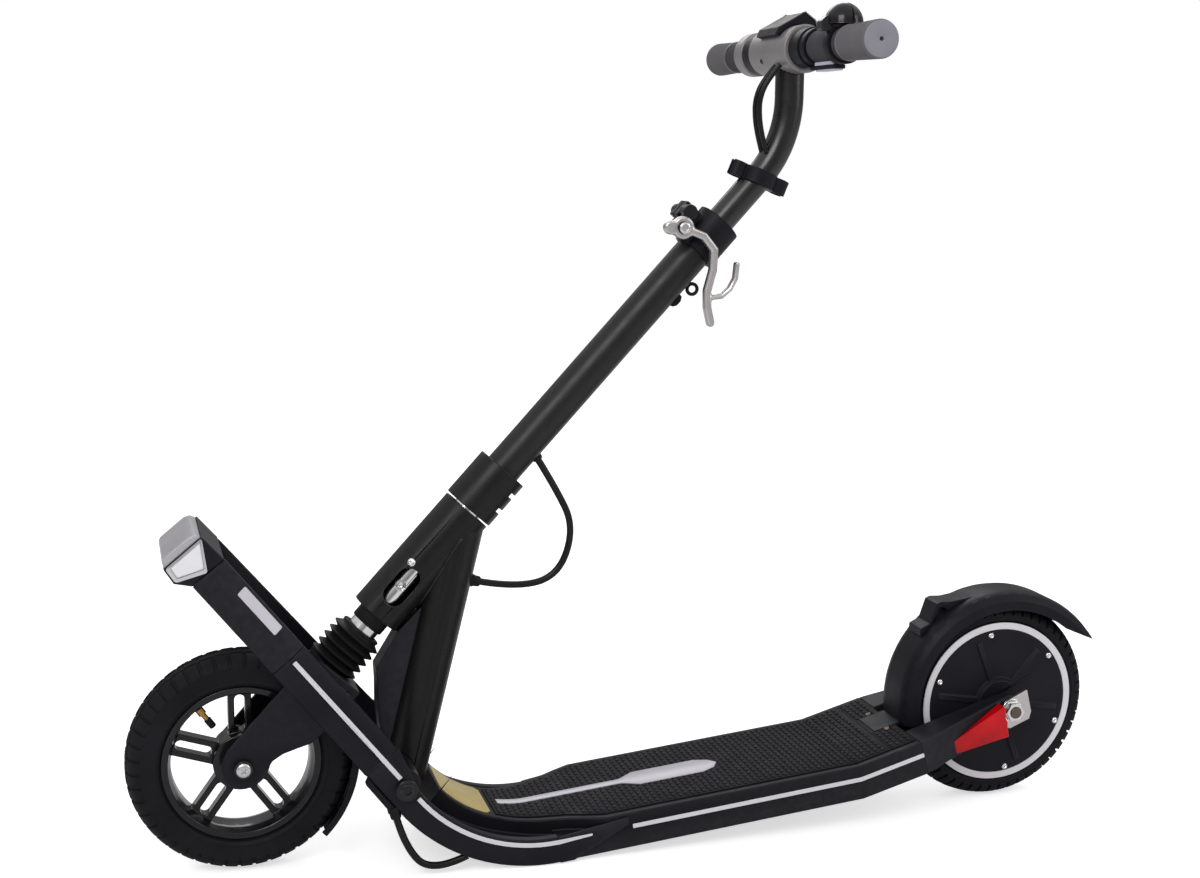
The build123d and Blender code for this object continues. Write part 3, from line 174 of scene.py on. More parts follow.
def make_camera():
    yaw, pitch, roll = (math.radians(turn) for turn in CAMERA_TURNS)
    view = Vector((math.sin(yaw) * math.cos(pitch), math.cos(yaw) * math.cos(pitch), -math.sin(pitch)))
    right = Vector((math.cos(yaw), -math.sin(yaw), 0))
    above = right.cross(view)
    data = bpy.data.cameras.new("camera")
    data.sensor_width = SENSOR
    data.lens = FOCAL_PIXELS * SENSOR / PHOTO_WIDTH
    data.clip_start, data.clip_end = CAMERA_CLIP
    camera = added("camera", data)
    turned_right = right * math.cos(roll) + above * math.sin(roll)
    camera.matrix_world = axes(spot(*CAMERA_PLACE), turned_right, -view)
    bpy.context.scene.camera = camera


def seen_directly(tree):
    """A factor that is 1 for camera and transmission rays."""
    rays = shader_node(tree, "LightPath")
    return maths(tree, "MAXIMUM", rays.outputs["Is Camera Ray"], rays.outputs["Is Transmission Ray"])


def make_world():
    """White behind the object, even ambient light, and a graded studio for glossy rays."""
    world = bpy.data.worlds.new("studio")
    world.use_nodes = True
    bpy.context.scene.world = world
    tree = world.node_tree
    background = set_inputs(tree.nodes["Background"], Color=WHITE)
    strength = shader_node(tree, "MapRange", To_Min=AMBIENT, To_Max=1.0)
    tree.links.new(seen_directly(tree), strength.inputs["Value"])
    heading = shader_node(tree, "SeparateXYZ")
    tree.links.new(shader_node(tree, "TexCoord").outputs["Generated"], heading.inputs[0])
    graded = shader_node(tree, "MapRange", From_Min=0.0, From_Max=MIRRORED_RISE,
                         To_Min=MIRRORED_LOW, To_Max=MIRRORED_HIGH)
    graded.interpolation_type = "SMOOTHSTEP"
    tree.links.new(heading.outputs["Z"], graded.inputs["Value"])
    choice = shader_node(tree, "Mix")
    tree.links.new(shader_node(tree, "LightPath").outputs["Is Glossy Ray"], choice.inputs["Factor"])
    tree.links.new(strength.outputs[0], choice.inputs[2])
    tree.links.new(graded.outputs[0], choice.inputs[3])
    tree.links.new(choice.outputs[0], background.inputs["Strength"])


def make_floor():
    """A pale floor that glows a little where it is seen directly, and takes the shadow."""
    far = FLOOR_HALF
    corners = [(-far, -far), (far, -far), (far, far), (-far, far)]
    mesh = bpy.data.meshes.new("floor")
    mesh.from_pydata([(x, y, -FLOOR_DROP * MM) for x, y in corners], [], [(0, 1, 2, 3)])
    floor = added("floor", mesh)
    material, tree, shader = new_material("pale_floor")
    set_inputs(shader, Base_Color=FLOOR_COLOUR, Roughness=0.85, Specular_IOR_Level=0.1, Emission_Color=WHITE)
    glow = maths(tree, "MULTIPLY", seen_directly(tree), FLOOR_GLOW)
    tree.links.new(glow, shader.inputs["Emission Strength"])
    mesh.materials.append(material)


def make_lamp(name, place, aim, size, power):
    data = bpy.data.lights.new(name, "AREA")
    data.shape = "RECTANGLE"
    data.size, data.size_y = size
    data.energy = power
    lamp = added(name, data)
    lamp.location = place
    lamp.rotation_euler = (Vector(aim) - Vector(place)).to_track_quat("-Z", "Y").to_euler()


make_camera()
make_world()
make_floor()
for lamp_name, lamp_setting in LAMPS.items():
    make_lamp(lamp_name, *lamp_setting)
bpy.context.scene.view_settings.view_transform = "Standard"


# Materials. Noise clouds every finish, varies its gloss and roughens it; worn edges are paler.
CLOUD_SCALE = 26.0
GLOSS_SCALE = 60.0
WEAR_SCALE = 140.0
NOISE_LOW = 0.3
NOISE_HIGH = 0.7
GLOSS_SPREAD = 0.05
EDGE_LOW = 0.53
EDGE_HIGH = 0.62
BUMP_DEPTH = 0.4


def surface(name, colour, rough, metallic=0.0, grain=700.0, relief=0.15, mottle=0.15, coat=0.0, wear=None,
            **sockets):
    """A finish with cloudy colour and gloss, fine grain and, if asked, paler worn edges."""
    material, tree, shader = new_material(name)
    set_inputs(shader, Metallic=metallic, Coat_Weight=coat, **sockets)
    where = shader_node(tree, "TexCoord").outputs["Object"]

    def noise(scale, detail):
        made = shader_node(tree, "TexNoise", Scale=scale, Detail=detail)
        tree.links.new(where, made.inputs["Vector"])
        return made.outputs["Fac"]

    tint = shader_node(tree, "ValToRGB")
    tones = ((NOISE_LOW, 1 - mottle), (NOISE_HIGH, 1 + mottle))
    for stop, (position, tone) in zip(tint.color_ramp.elements, tones):
        stop.position = position
        stop.color = tuple(min(1, c * tone) for c in colour) + (1,)
    tree.links.new(noise(CLOUD_SCALE, 5.0), tint.inputs[0])
    final = tint.outputs["Color"]
    if wear is not None:
        edge = shader_node(tree, "MapRange", From_Min=EDGE_LOW, From_Max=EDGE_HIGH)
        tree.links.new(shader_node(tree, "NewGeometry").outputs["Pointiness"], edge.inputs["Value"])
        rubbed = maths(tree, "MULTIPLY", edge.outputs[0], noise(WEAR_SCALE, 3.0))
        mix = shader_node(tree, "Mix")
        mix.data_type = "RGBA"
        tree.links.new(rubbed, mix.inputs["Factor"])
        tree.links.new(final, mix.inputs[6])
        mix.inputs[7].default_value = wear + (1,)
        final = mix.outputs[2]
    tree.links.new(final, shader.inputs["Base Color"])
    gloss = shader_node(tree, "MapRange", From_Min=NOISE_LOW, From_Max=NOISE_HIGH,
                        To_Min=rough - GLOSS_SPREAD, To_Max=rough + GLOSS_SPREAD)
    tree.links.new(noise(GLOSS_SCALE, 4.0), gloss.inputs["Value"])
    tree.links.new(gloss.outputs[0], shader.inputs["Roughness"])
    bump = shader_node(tree, "Bump", Strength=relief, Distance=BUMP_DEPTH * MM)
    tree.links.new(noise(grain, 2.0), bump.inputs["Height"])
    tree.links.new(bump.outputs[0], shader.inputs["Normal"])
    return material


EDGE = (0.06, 0.06, 0.065)
DULL = {"Specular_IOR_Level": 0.16}
SOFT = {"Specular_IOR_Level": 0.26}
FRAME_BLACK = surface("frame_black", (0.010, 0.0092, 0.014), 0.44, grain=1100, relief=0.12, wear=EDGE,
                      **DULL)
DECK_BLACK = surface("deck_black", (0.0075, 0.007, 0.010), 0.5, grain=900, relief=0.2, wear=EDGE, **DULL)
STEM_BLACK = surface("stem_black", (0.0055, 0.0046, 0.005), 0.34, grain=1500, relief=0.06, wear=EDGE, **SOFT)
TUBE_BLACK = surface("tube_black", (0.0085, 0.0073, 0.0078), 0.38, grain=1500, relief=0.03, wear=EDGE,
                     Specular_IOR_Level=0.34)
NECK_BLACK = surface("neck_black", (0.0085, 0.0075, 0.008), 0.28, grain=1500, relief=0.03, wear=EDGE,
                     Specular_IOR_Level=0.62)
MOULDED = surface("moulded_black", (0.009, 0.009, 0.013), 0.46, grain=800, relief=0.2, **DULL)
GLOSS_BLACK = surface("gloss_black", (0.006, 0.006, 0.008), 0.2, grain=1200, relief=0.03, coat=0.2,
                      wear=EDGE, **SOFT)
RUBBER = surface("tyre_rubber", (0.0085, 0.0085, 0.011), 0.66, grain=500, relief=0.3, mottle=0.25, **DULL)
BELLOWS = surface("bellows_rubber", (0.008, 0.008, 0.009), 0.55, grain=700, relief=0.15, **DULL)
CABLE = surface("cable_black", (0.007, 0.007, 0.008), 0.33, grain=900, relief=0.08, **SOFT)
MAT_RUBBER = surface("mat_rubber", (0.0065, 0.006, 0.009), 0.62, grain=800, relief=0.3, mottle=0.2, **DULL)
STRIP = surface("pale_strip", (0.74, 0.73, 0.76), 0.4, grain=900, relief=0.05, mottle=0.03)
PLATE = surface("pale_plate", (0.60, 0.58, 0.64), 0.38, grain=900, relief=0.05, mottle=0.04)
CAST = surface("cast_alloy", (0.66, 0.62, 0.62), 0.36, metallic=1.0, grain=500, relief=0.2, mottle=0.05)
STEEL_DARK = surface("dark_steel", (0.16, 0.12, 0.11), 0.35, metallic=1.0, grain=500, relief=0.1, mottle=0.1)
POLISHED = surface("polished_steel", (0.78, 0.77, 0.77), 0.14, metallic=1.0, grain=900, relief=0.03,
                   mottle=0.04)
ZINC = surface("zinc", (0.72, 0.72, 0.73), 0.3, metallic=1.0, grain=400, relief=0.12, mottle=0.08)
GREY_ALLOY = surface("grey_alloy", (0.25, 0.235, 0.24), 0.42, metallic=0.25, grain=900, relief=0.1,
                     mottle=0.06)
GRIP_DARK = surface("grip_dark", (0.045, 0.042, 0.05), 0.72, grain=420, relief=0.5)
GRIP_GREY = surface("grip_grey", (0.138, 0.13, 0.138), 0.7, grain=500, relief=0.3, mottle=0.08)
GRIP_FACE = surface("grip_face", (0.26, 0.25, 0.285), 0.62, grain=500, relief=0.2, mottle=0.06)
LENS_GREY = surface("frosted_lens", (0.46, 0.445, 0.48), 0.32, grain=350, relief=0.12, mottle=0.07, coat=0.2)
LENS_WHITE = surface("white_lens", (0.88, 0.87, 0.9), 0.22, grain=300, relief=0.03, mottle=0.02, coat=0.5)
RED_LENS = surface("red_lens", (0.5, 0.0, 0.004), 0.14, grain=260, relief=0.1, mottle=0.35, coat=0.15,
                   **SOFT)
WHITE_RING = surface("white_ring", (0.76, 0.745, 0.77), 0.34, grain=700, relief=0.05, mottle=0.04)
BRASS = surface("brass", (0.50, 0.27, 0.09), 0.3, metallic=1.0, grain=600, relief=0.1, mottle=0.12)
KHAKI = surface("khaki_panel", (0.53, 0.41, 0.155), 0.42, grain=1000, relief=0.1, mottle=0.08)
# Painted reflection: pale bluish colour for the throttle paddle's underside and the fill above it
PAINTED_PADDLE_REFLECTION = surface("paddle_painted_reflection", (0.62, 0.64, 0.78), 0.25, grain=400, relief=0.05, mottle=0.06, coat=0.3)
SCREEN = surface("dark_screen", (0.01, 0.01, 0.012), 0.1, grain=300, relief=0.02, coat=0.8)


# Mesh helpers
BEVEL_ANGLE = 32.0
HEAD_STEPS = 24


def piece(name, verts, faces, material, body, sharp=38.0):
    """A mesh piece that rides on a body, shaded smooth below the given angle."""
    mesh = bpy.data.meshes.new(name)
    mesh.from_pydata([tuple(v) for v in verts], [], faces)
    mesh.validate()
    outward = bmesh.new()
    outward.from_mesh(mesh)
    bmesh.ops.recalc_face_normals(outward, faces=outward.faces)
    outward.to_mesh(mesh)
    outward.free()
    mesh.materials.append(material)
    made = added(name, mesh)
    mesh.shade_smooth()
    mesh.set_sharp_from_angle(angle=math.radians(sharp))
    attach(made, body)
    return made


def bevelled(made, width, clamped=True):
    """Softens an object's edges over a width in millimetres."""
    soft = made.modifiers.new("soft_edges", "BEVEL")
    soft.width = width * MM
    soft.segments = 2
    soft.limit_method = "ANGLE"
    soft.angle_limit = math.radians(BEVEL_ANGLE)
    soft.use_clamp_overlap = clamped
    soft.harden_normals = True


def polar(radius, turn, height):
    """A point in metres, from a radius and height in millimetres and a turn in radians."""
    return Vector((radius * math.cos(turn) * MM, radius * math.sin(turn) * MM, height * MM))


def skin(rings, count, closed=False, capped=True):
    """Faces over rings of count verts: the last ring joins the first if closed, else the ends are capped."""
    faces = []
    for ring in range(rings if closed else rings - 1):
        here, there = ring * count, (ring + 1) % rings * count
        for index in range(count):
            after = (index + 1) % count
            faces.append((here + index, here + after, there + after, there + index))
    if capped and not closed:
        faces += [tuple(range(count)), tuple(range((rings - 1) * count, rings * count))]
    return faces


def turned_skin(steps, count):
    """Faces over a closed profile of count verts that is turned in steps."""
    return [(a, d, c, b) for a, b, c, d in skin(steps, count, closed=True)]


def lathe(profile, place, steps):
    """Verts and faces of (radius, height) points, in millimetres, turned about the place's z axis."""
    turns = [2 * math.pi * step / steps for step in range(steps)]
    verts = [place @ polar(radius, turn, height) for turn in turns for radius, height in profile]
    return verts, turned_skin(steps, len(profile))


def prism(outline, low, high, to_place):
    """Verts and faces of a closed (a, b) outline between two heights, placed point by point."""
    count = len(outline)
    verts = [to_place(a, b, low) for a, b in outline] + [to_place(a, b, high) for a, b in outline]
    faces = [tuple(reversed(range(count))), tuple(range(count, 2 * count))]
    return verts, faces + skin(2, count, capped=False)


def merged(groups):
    """Several (verts, faces) groups as one."""
    verts, faces = [], []
    for more_verts, more_faces in groups:
        start = len(verts)
        verts += list(more_verts)
        faces += [tuple(start + index for index in face) for face in more_faces]
    return verts, faces


def screw_head(place, radius, height, recess):
    """A domed head on the place's z axis, with a hexagon socket or a cross recess."""
    rings = [(radius, 0, False), (radius, 0.45 * height, False), (0.82 * radius, 0.85 * height, False),
             (0.62 * radius, height, False), (0.55 * radius, height, True),
             (0.5 * radius, 0.3 * height, True)]
    verts = []
    for size, level, shaped in rings:
        for step in range(HEAD_STEPS):
            turn = 2 * math.pi * step / HEAD_STEPS
            reach = size
            if shaped and recess == "hex":
                reach = size * math.cos(math.pi / 6) / math.cos((turn % (math.pi / 3)) - math.pi / 6)
            if shaped and recess == "cross":
                reach = size * (0.3 + 0.7 * abs(math.cos(2 * turn)) ** 3)
            verts.append(place @ polar(reach, turn, level))
    end = len(verts)
    faces = [tuple(range(end - HEAD_STEPS, end)), tuple(reversed(range(HEAD_STEPS)))]
    return verts, faces + skin(len(rings), HEAD_STEPS, capped=False)


def tube(points, radius, sides=8, closed=False):
    """Verts and faces of a round bar of the given radius, in millimetres, along points in metres."""
    count = len(points)
    normal = None
    verts = []
    for index, here in enumerate(points):
        before = points[index - 1] if index or closed else here
        after = points[(index + 1) % count] if index + 1 < count or closed else here
        heading = (after - before).normalized()
        if normal is None:
            normal = heading.orthogonal()
        normal = (normal - heading * normal.dot(heading)).normalized()
        side = heading.cross(normal)
        for step in range(sides):
            turn = 2 * math.pi * step / sides
            verts.append(here + (normal * math.cos(turn) + side * math.sin(turn)) * radius * MM)
    return verts, skin(count, sides, closed)


def rounded(corners, radius, steps=5):
    """A closed flat outline with its corners rounded."""
    line = []
    count = len(corners)
    for index in range(count):
        corner = Vector(corners[index])
        run_in = corner - Vector(corners[index - 1])
        run_out = Vector(corners[(index + 1) % count]) - corner
        reach = min(radius, 0.45 * run_in.length, 0.45 * run_out.length)
        first = corner - run_in.normalized() * reach
        last = corner + run_out.normalized() * reach
        for step in range(steps + 1):
            t = step / steps
            line.append(tuple(first * (1 - t) ** 2 + corner * 2 * t * (1 - t) + last * t * t))
    return line


def heads(name, places, recess, material, body, radius, height):
    """Screw heads of one kind as one piece."""
    groups = [screw_head(place, radius, height, recess) for place in places]
    piece(name, *merged(groups), material, body, sharp=30)


# CAD nodes that are shown as they are, each with its finish and the width of its softened edges
SHOWN = {
    "left_rail": (FRAME_BLACK, 0.9), "right_rail": (FRAME_BLACK, 0.9), "rail_covers": (FRAME_BLACK, 0.9),
    "nose_housing": (FRAME_BLACK, 1.2), "light_strips": (STRIP, 0.4), "lamp_lenses": (LENS_GREY, 1.5),
    "deck_tray": (DECK_BLACK, 1.4), "bottom_cover": (MOULDED, 0.6), "battery_pack": (MOULDED, 1.5),
    "motor_controller": (ZINC, 1.0), "rear_arms": (FRAME_BLACK, 1.4), "tail_lamps": (RED_LENS, 0.8),
    "dropout_plates": (CAST, 0.6), "rear_axle": (STEEL_DARK, 0.5), "rear_axle_nuts": (POLISHED, 0.6),
    "motor_stator": (CAST, 0.5), "rear_fender": (MOULDED, 0.5), "fender_bracket": (MOULDED, 0.6),
    "fold_bolt": (GLOSS_BLACK, 0.8), "hinge_covers": (MOULDED, 1.0), "hinge_block": (STEM_BLACK, 0.8),
    "strut_tube": (STEM_BLACK, 0.8), "gusset": (FRAME_BLACK, 1.0), "head_tube": (STEM_BLACK, 0.9),
    "head_bearings": (ZINC, 0.4), "stanchion": (POLISHED, 0.6), "clamp_collar": (STEM_BLACK, 0.8),
    "stem_tube": (TUBE_BLACK, 0.6), "height_clamp": (MOULDED, 0.9), "clamp_skewer": (GLOSS_BLACK, 0.8),
    "clamp_lever": (CAST, 2.0), "fork_legs": (FRAME_BLACK, 0.9), "fork_crown": (FRAME_BLACK, 0.9),
    "front_mudguard": (MOULDED, 0.5), "front_axle": (GLOSS_BLACK, 0.8), "front_rim": (GLOSS_BLACK, 0.9),
    "front_bearings": (ZINC, 0.4), "valve_stem": (BRASS, 0.4), "upper_stem_tube": (NECK_BLACK, 0.6),
    "bar_hub": (GREY_ALLOY, 1.5), "handlebar": (STEM_BLACK, 0.6), "bar_clamps": (MOULDED, 0.9),
    "right_flange": (GREY_ALLOY, 1.5), "display": (MOULDED, 1.5), "stem_clip": (MOULDED, 0.8),
    "throttle_lever": (MOULDED, 0.9), "hub_shell": (GLOSS_BLACK, 0.5), "hub_covers": (FRAME_BLACK, 0.8),
    "rim_rings": (WHITE_RING, 0.4),
}

# Nodes whose flat faces have holes, and so keep their triangles
PIERCED = {"front_rim", "stem_clip", "rear_axle_nuts", "throttle_lever", "nose_housing", "height_clamp",
           "display"}
WELD_WIDTH = 0.01
FLAT_ANGLE = 0.6


def dress(node, material, width):
    """Gives a CAD node its finish and softened edges."""
    shown = NODES[node]
    shown.data.materials.clear()
    shown.data.materials.append(material)
    if "custom_normal" in shown.data.attributes:
        shown.data.attributes.remove(shown.data.attributes["custom_normal"])
    shown.data.shade_smooth()
    weld = shown.modifiers.new("weld", "WELD")
    weld.merge_threshold = WELD_WIDTH * MM
    if node not in PIERCED:
        flat = shown.modifiers.new("flat_faces", "DECIMATE")
        flat.decimate_type = "DISSOLVE"
        flat.angle_limit = math.radians(FLAT_ANGLE)
    bevelled(shown, width, clamped=False)
    even = shown.modifiers.new("even_shading", "WEIGHTED_NORMAL")
    even.weight = 80
    even.keep_sharp = True


for node_name, (node_material, edge_width) in SHOWN.items():
    dress(node_name, node_material, edge_width)


# Cables: the points that steer each route, in millimetres
BAR_ROUTE = [(531, -14, 770), (518, -14, 755), (511, -13, 737), (512, -11.5, 718), (516, -10, 701),
             (521, -8.5, 686)]
UPPER_ROUTE = [(289, 394), (311, 358.5), (331, 317), (314.5, 267.5), (268, 259), (226.5, 269.3)]
LOWER_ROUTE = [(136.5, 69), (145, 33), (172, 1.5), (207, 16)]
LOWER_Y = -73.5
LOOP_R = 3.5
BAR_CABLE_R = 2.5
# How far each bar cable lies forward of the route and to its side
BAR_CABLE_SHIFTS = ((0, 0), (1.5, 8.5))


def route(name, points, radius):
    """A round cable on a smooth curve."""
    curve = bpy.data.curves.new(name, "CURVE")
    curve.dimensions = "3D"
    spline = curve.splines.new("NURBS")
    spline.points.add(len(points) - 1)
    for control, point in zip(spline.points, points):
        control.co = (*point, 1)
    spline.order_u = 3
    spline.use_endpoint_u = True
    spline.resolution_u = 16
    curve.bevel_depth = radius * MM
    curve.bevel_resolution = 4
    curve.use_fill_caps = True
    curve.materials.append(CABLE)
    return added(name, curve)


for number, (forward, aside) in enumerate(BAR_CABLE_SHIFTS, 1):
    bar_points = [spot(x - forward, y + aside, z) for x, y, z in BAR_ROUTE]
    bar_cable = route(f"bar_cable_{number}", bar_points, BAR_CABLE_R)
    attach(bar_cable, "upper_stem")
    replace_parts(bar_cable, "bar_cables")

lower_points = [spot(x, LOWER_Y, z) for x, z in LOWER_ROUTE]
lower_cable = route("lower_loop", lower_points, LOOP_R)
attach(lower_cable, "frame")
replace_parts(lower_cable, "lower_cable")

upper_points = [spot(x, 0, z) for x, z in UPPER_ROUTE]
upper_curve = route("upper_route", upper_points, 0)
upper_path = [tuple(v.co) for v in bpy.data.meshes.new_from_object(upper_curve).vertices]
upper_curve.data.bevel_depth = LOOP_R * MM
upper_mesh = bpy.data.meshes.new_from_object(upper_curve)
bpy.data.objects.remove(upper_curve)
upper_cable = added("upper_loop", upper_mesh)
upper_mesh.shade_smooth()
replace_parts(upper_cable, "upper_cable")
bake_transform(upper_cable)


# Lines of the side frame, in millimetres: the front of the rail, the tongue's curve and the deck
DECK_TILT = math.radians(6.0)
KICK_TILT = math.radians(16.0)
DECK_FROM = Vector((296.202, 22.849))
KICK_AT = 320.35
DECK_UP = 14.0
FLOOR_CENTRE = Vector((271.883, 148.998))
FLOOR_R = 114.0
FLOOR_TO_DECK = -11.0
FRONT_RISE = math.radians(50.4)
FRONT_FROM = Vector((127.569, 119.640))
FRONT_AT = 50.0
RAIL_HALF = 80.0
NOSE_HALF = 46.0
LENS_END = 327.0


def front_spot(along, y, up):
    """A place on the front of the rail, past its kink."""
    run = along - FRONT_AT
    x = FRONT_FROM.x - run * math.cos(FRONT_RISE) + up * math.sin(FRONT_RISE)
    return spot(x, y, FRONT_FROM.y + run * math.sin(FRONT_RISE) + up * math.cos(FRONT_RISE))


def front_half(along):
    """Half width of the frame along the front of the rail."""
    return RAIL_HALF - (RAIL_HALF - NOSE_HALF) * (along - FRONT_AT) / (LENS_END - FRONT_AT)


def floor_spot(angle, y, up):
    """A place over the tongue's curve."""
    turn = math.radians(angle)
    reach = FLOOR_R - up
    return spot(FLOOR_CENTRE.x + reach * math.cos(turn), y, FLOOR_CENTRE.y + reach * math.sin(turn))


def deck_spot(along, y, up):
    """A place over the deck's top, along its tongue, its flat and its raised tail."""
    if along < FLOOR_TO_DECK:
        return floor_spot(270 + math.degrees(DECK_TILT + (along - FLOOR_TO_DECK) / FLOOR_R), y, up)
    tilt = DECK_TILT
    start = DECK_FROM
    run = along
    if along > KICK_AT:
        corner = DECK_FROM + Vector((math.cos(DECK_TILT), math.sin(DECK_TILT))) * KICK_AT
        start, tilt, run = corner, KICK_TILT, along - KICK_AT
    high = DECK_UP + up
    return spot(start.x + run * math.cos(tilt) - high * math.sin(tilt), y,
                start.y + run * math.sin(tilt) + high * math.cos(tilt))


# Tyres
WHEEL_R = 108.0
TYRE_HALF = 24.0
# Where a tread block is drawn along its length, and which of these places are cut on either side
BLOCK_PARTS = [0.0, 0.2, 0.24, 0.42, 0.46, 0.7, 0.74, 0.92, 0.96]
RIGHT_CUTS = (2, 3)
LEFT_CUTS = (6, 7)
CUT_PULL = 0.025
# Half of the section: rise from the bead or drop from the crown, step in from the side, and share of the cut
BEAD_LINE = [(3.4, 2.2), (5.2, 0.7), (6.0, 0.2), (7.2, 0.2), (8.0, 0.7)]
TREAD_LINE = [(13.5, 0.7, 0), (12.6, 0.4, 1), (9.4, 1.6, 1), (6.0, 4.8, 1), (3.0, 9.4, 1), (1.6, 13.0, 0.7),
              (3.6, 13.8, 0), (3.4, 15.4, 0), (0.8, 16.2, 0.35), (0, 20.2, 0.35), (2.2, 21.0, 0),
              (2.2, 22.6, 0)]


def treaded(name, node, place, body, bead, bead_half, blocks, depth):
    """A tyre with round grooves, and shoulder blocks whose cuts alternate from side to side."""
    side = [(bead, bead_half, 0), (bead + 2.8, bead_half, 0)]
    side += [(bead + rise, TYRE_HALF - step, 0) for rise, step in BEAD_LINE]
    side += [(WHEEL_R - drop, TYRE_HALF - step, cut) for drop, step, cut in TREAD_LINE]
    profile = side + [(r, -h, cut) for r, h, cut in reversed(side)]
    verts = []
    for block in range(blocks):
        for number, part in enumerate(BLOCK_PARTS):
            turn = 2 * math.pi * (block + part) / blocks
            for radius, height, cut in profile:
                cuts = number in (RIGHT_CUTS if height > 0 else LEFT_CUTS)
                pulled = height * (1 - CUT_PULL * depth * cut * cuts)
                verts.append(place @ polar(radius - cut * depth * cuts, turn, pulled))
    faces = turned_skin(blocks * len(BLOCK_PARTS), len(profile))
    made = piece(name, verts, faces, RUBBER, body, sharp=30)
    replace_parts(made, node)


treaded("front_tyre_tread", "front_tyre", FRONT, "front_wheel",
        bead=74.0, bead_half=18.4, blocks=46, depth=1.5)
treaded("rear_tyre_tread", "rear_tyre", REAR, "rear_wheel",
        bead=84.0, bead_half=20.9, blocks=54, depth=2.4)


# Fork bellows and spring, drawn at one length; on the scooter they shorten as the fork rises
CROWN_TOP = 123.4
BOOT_TOP = 167.4
BOOT_COLLAR = 4.0
BOOT_R = 26.6
BOOT_ROOT_R = 20.6
BOOT_BORE_R = 16.0
BOOT_WALL = 1.6
BOOT_FOLDS = 5
# One fold: how far out it reaches, and at what part of its height
BOOT_FOLD = [(0.0, 0.02), (0.1, 0.06), (0.55, 0.26), (0.9, 0.42), (1.0, 0.5), (0.9, 0.58), (0.55, 0.74),
             (0.1, 0.94)]
collar_low = BOOT_TOP - BOOT_COLLAR
fold_height = (collar_low - CROWN_TOP) / BOOT_FOLDS
folds = [(BOOT_ROOT_R + out * (BOOT_R - BOOT_ROOT_R), CROWN_TOP + (number + part) * fold_height)
         for number in range(BOOT_FOLDS) for out, part in BOOT_FOLD]
boot_collar = [(BOOT_ROOT_R, collar_low + 0.2), (BOOT_ROOT_R - 0.3, collar_low + 1.4),
               (BOOT_ROOT_R + 0.3, collar_low + 1.8), (BOOT_ROOT_R + 0.3, BOOT_TOP - 0.8),
               (BOOT_ROOT_R - 0.6, BOOT_TOP), (BOOT_BORE_R, BOOT_TOP), (BOOT_BORE_R, collar_low)]
boot_inside = [(r - BOOT_WALL, t) for r, t in reversed(folds)]
boot_line = folds + boot_collar + boot_inside
boot = piece("fork_bellows", *lathe(boot_line, STEM, 72), BELLOWS, "fork", sharp=55)
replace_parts(boot, "boot")
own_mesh(boot)

SPRING_R = 8.0
SPRING_WIRE_R = 1.5
SPRING_LOW = 119.2
SPRING_TOP = 214.6
SPRING_TURNS = 9
DEAD_TURNS = 1.25
DEAD_PITCH = 2.1 * SPRING_WIRE_R
ALL_TURNS = SPRING_TURNS + 2 * DEAD_TURNS
STEPS_IN_TURN = 20
wire_low = SPRING_LOW + SPRING_WIRE_R
wire_high = SPRING_TOP - SPRING_WIRE_R
coil = []
coil_steps = int(ALL_TURNS * STEPS_IN_TURN)
for step in range(coil_steps + 1):
    turns = ALL_TURNS * step / coil_steps
    live = (turns - DEAD_TURNS) / SPRING_TURNS
    level = wire_low + DEAD_TURNS * DEAD_PITCH + live * (wire_high - wire_low - 2 * DEAD_TURNS * DEAD_PITCH)
    if turns < DEAD_TURNS:
        level = wire_low + turns * DEAD_PITCH
    if live > 1:
        level = wire_high - (ALL_TURNS - turns) * DEAD_PITCH
    coil.append(STEM @ polar(SPRING_R, 2 * math.pi * turns, level))
spring = piece("fork_coil", *tube(coil, SPRING_WIRE_R), ZINC, "fork", sharp=60)
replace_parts(spring, "fork_spring")
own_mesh(spring)


# Foot mat: a sheet with rows of short ribs, a pale stripe and a bare pale plate, and a ribbed tail
MAT_FOOT = 0.02
MAT_BASE = 1.5
MAT_TOP = 2.5
MAT_FIRST = -52.0
MAT_LAST = 362.0
MAT_MARGIN = 8.0
RIB_MARGIN = 2.2
RIB_LEAST = 1.5
RIB_SINK = 0.3
RIB_PITCH = 6.2
RIB_WIDTH = 3.6
PAD_PITCH = 8.4
PAD_GAP = 1.5
PADS_ASIDE = 11
PLATE_GAP = 1.2
STRIPE_FIRST = -44.0
STRIPE_HALF = 5.4
TAIL_LAST = KICK_AT + 70.0
TAIL_ROWS = 4
FOOT_HALF = 21.5
# Half widths: of the pointed plate along the deck, and of the deck's top behind the front axle
PLATE_LINE = [(86, STRIPE_HALF), (90, 7.2), (104, 17), (172, 17), (186, 10), (192, 0)]
PLAN = [(100, 43), (246, 43), (272, 49), (292, 55), (311, 61), (328, 70), (345, 77.5), (900, 77.5)]


def between(line, at):
    """The value at a place on a line of (place, value) points."""
    for (low, value_low), (high, value_high) in zip(line, line[1:]):
        if low <= at <= high:
            return value_low + (value_high - value_low) * (at - low) / (high - low)
    return line[-1][1]


def mat_half(along):
    """Half width of the mat along the deck."""
    return between(PLAN, (deck_spot(along, 0, 0).x - AXLE_X) / MM) - MAT_MARGIN


def plate_half(along):
    """Half width of the pale stripe and plate, or 0 where there is none."""
    if along < STRIPE_FIRST or along > PLATE_LINE[-1][0]:
        return 0
    if along <= PLATE_LINE[0][0]:
        return STRIPE_HALF
    return between(PLATE_LINE, along)


def ribbon_sheet(places, half, low, high, crown=0.0):
    """Verts and faces of a sheet that follows the deck, with its half width at each place along it."""
    verts = []
    for along in places:
        wide = half(along)
        section = [(-wide, low), (-wide, high - 0.25), (-wide + 0.35, high), (0, high + crown),
                   (wide - 0.35, high), (wide, high - 0.25), (wide, low)]
        verts += [deck_spot(along, y, up) for y, up in section]
    return verts, skin(len(places), len(section))


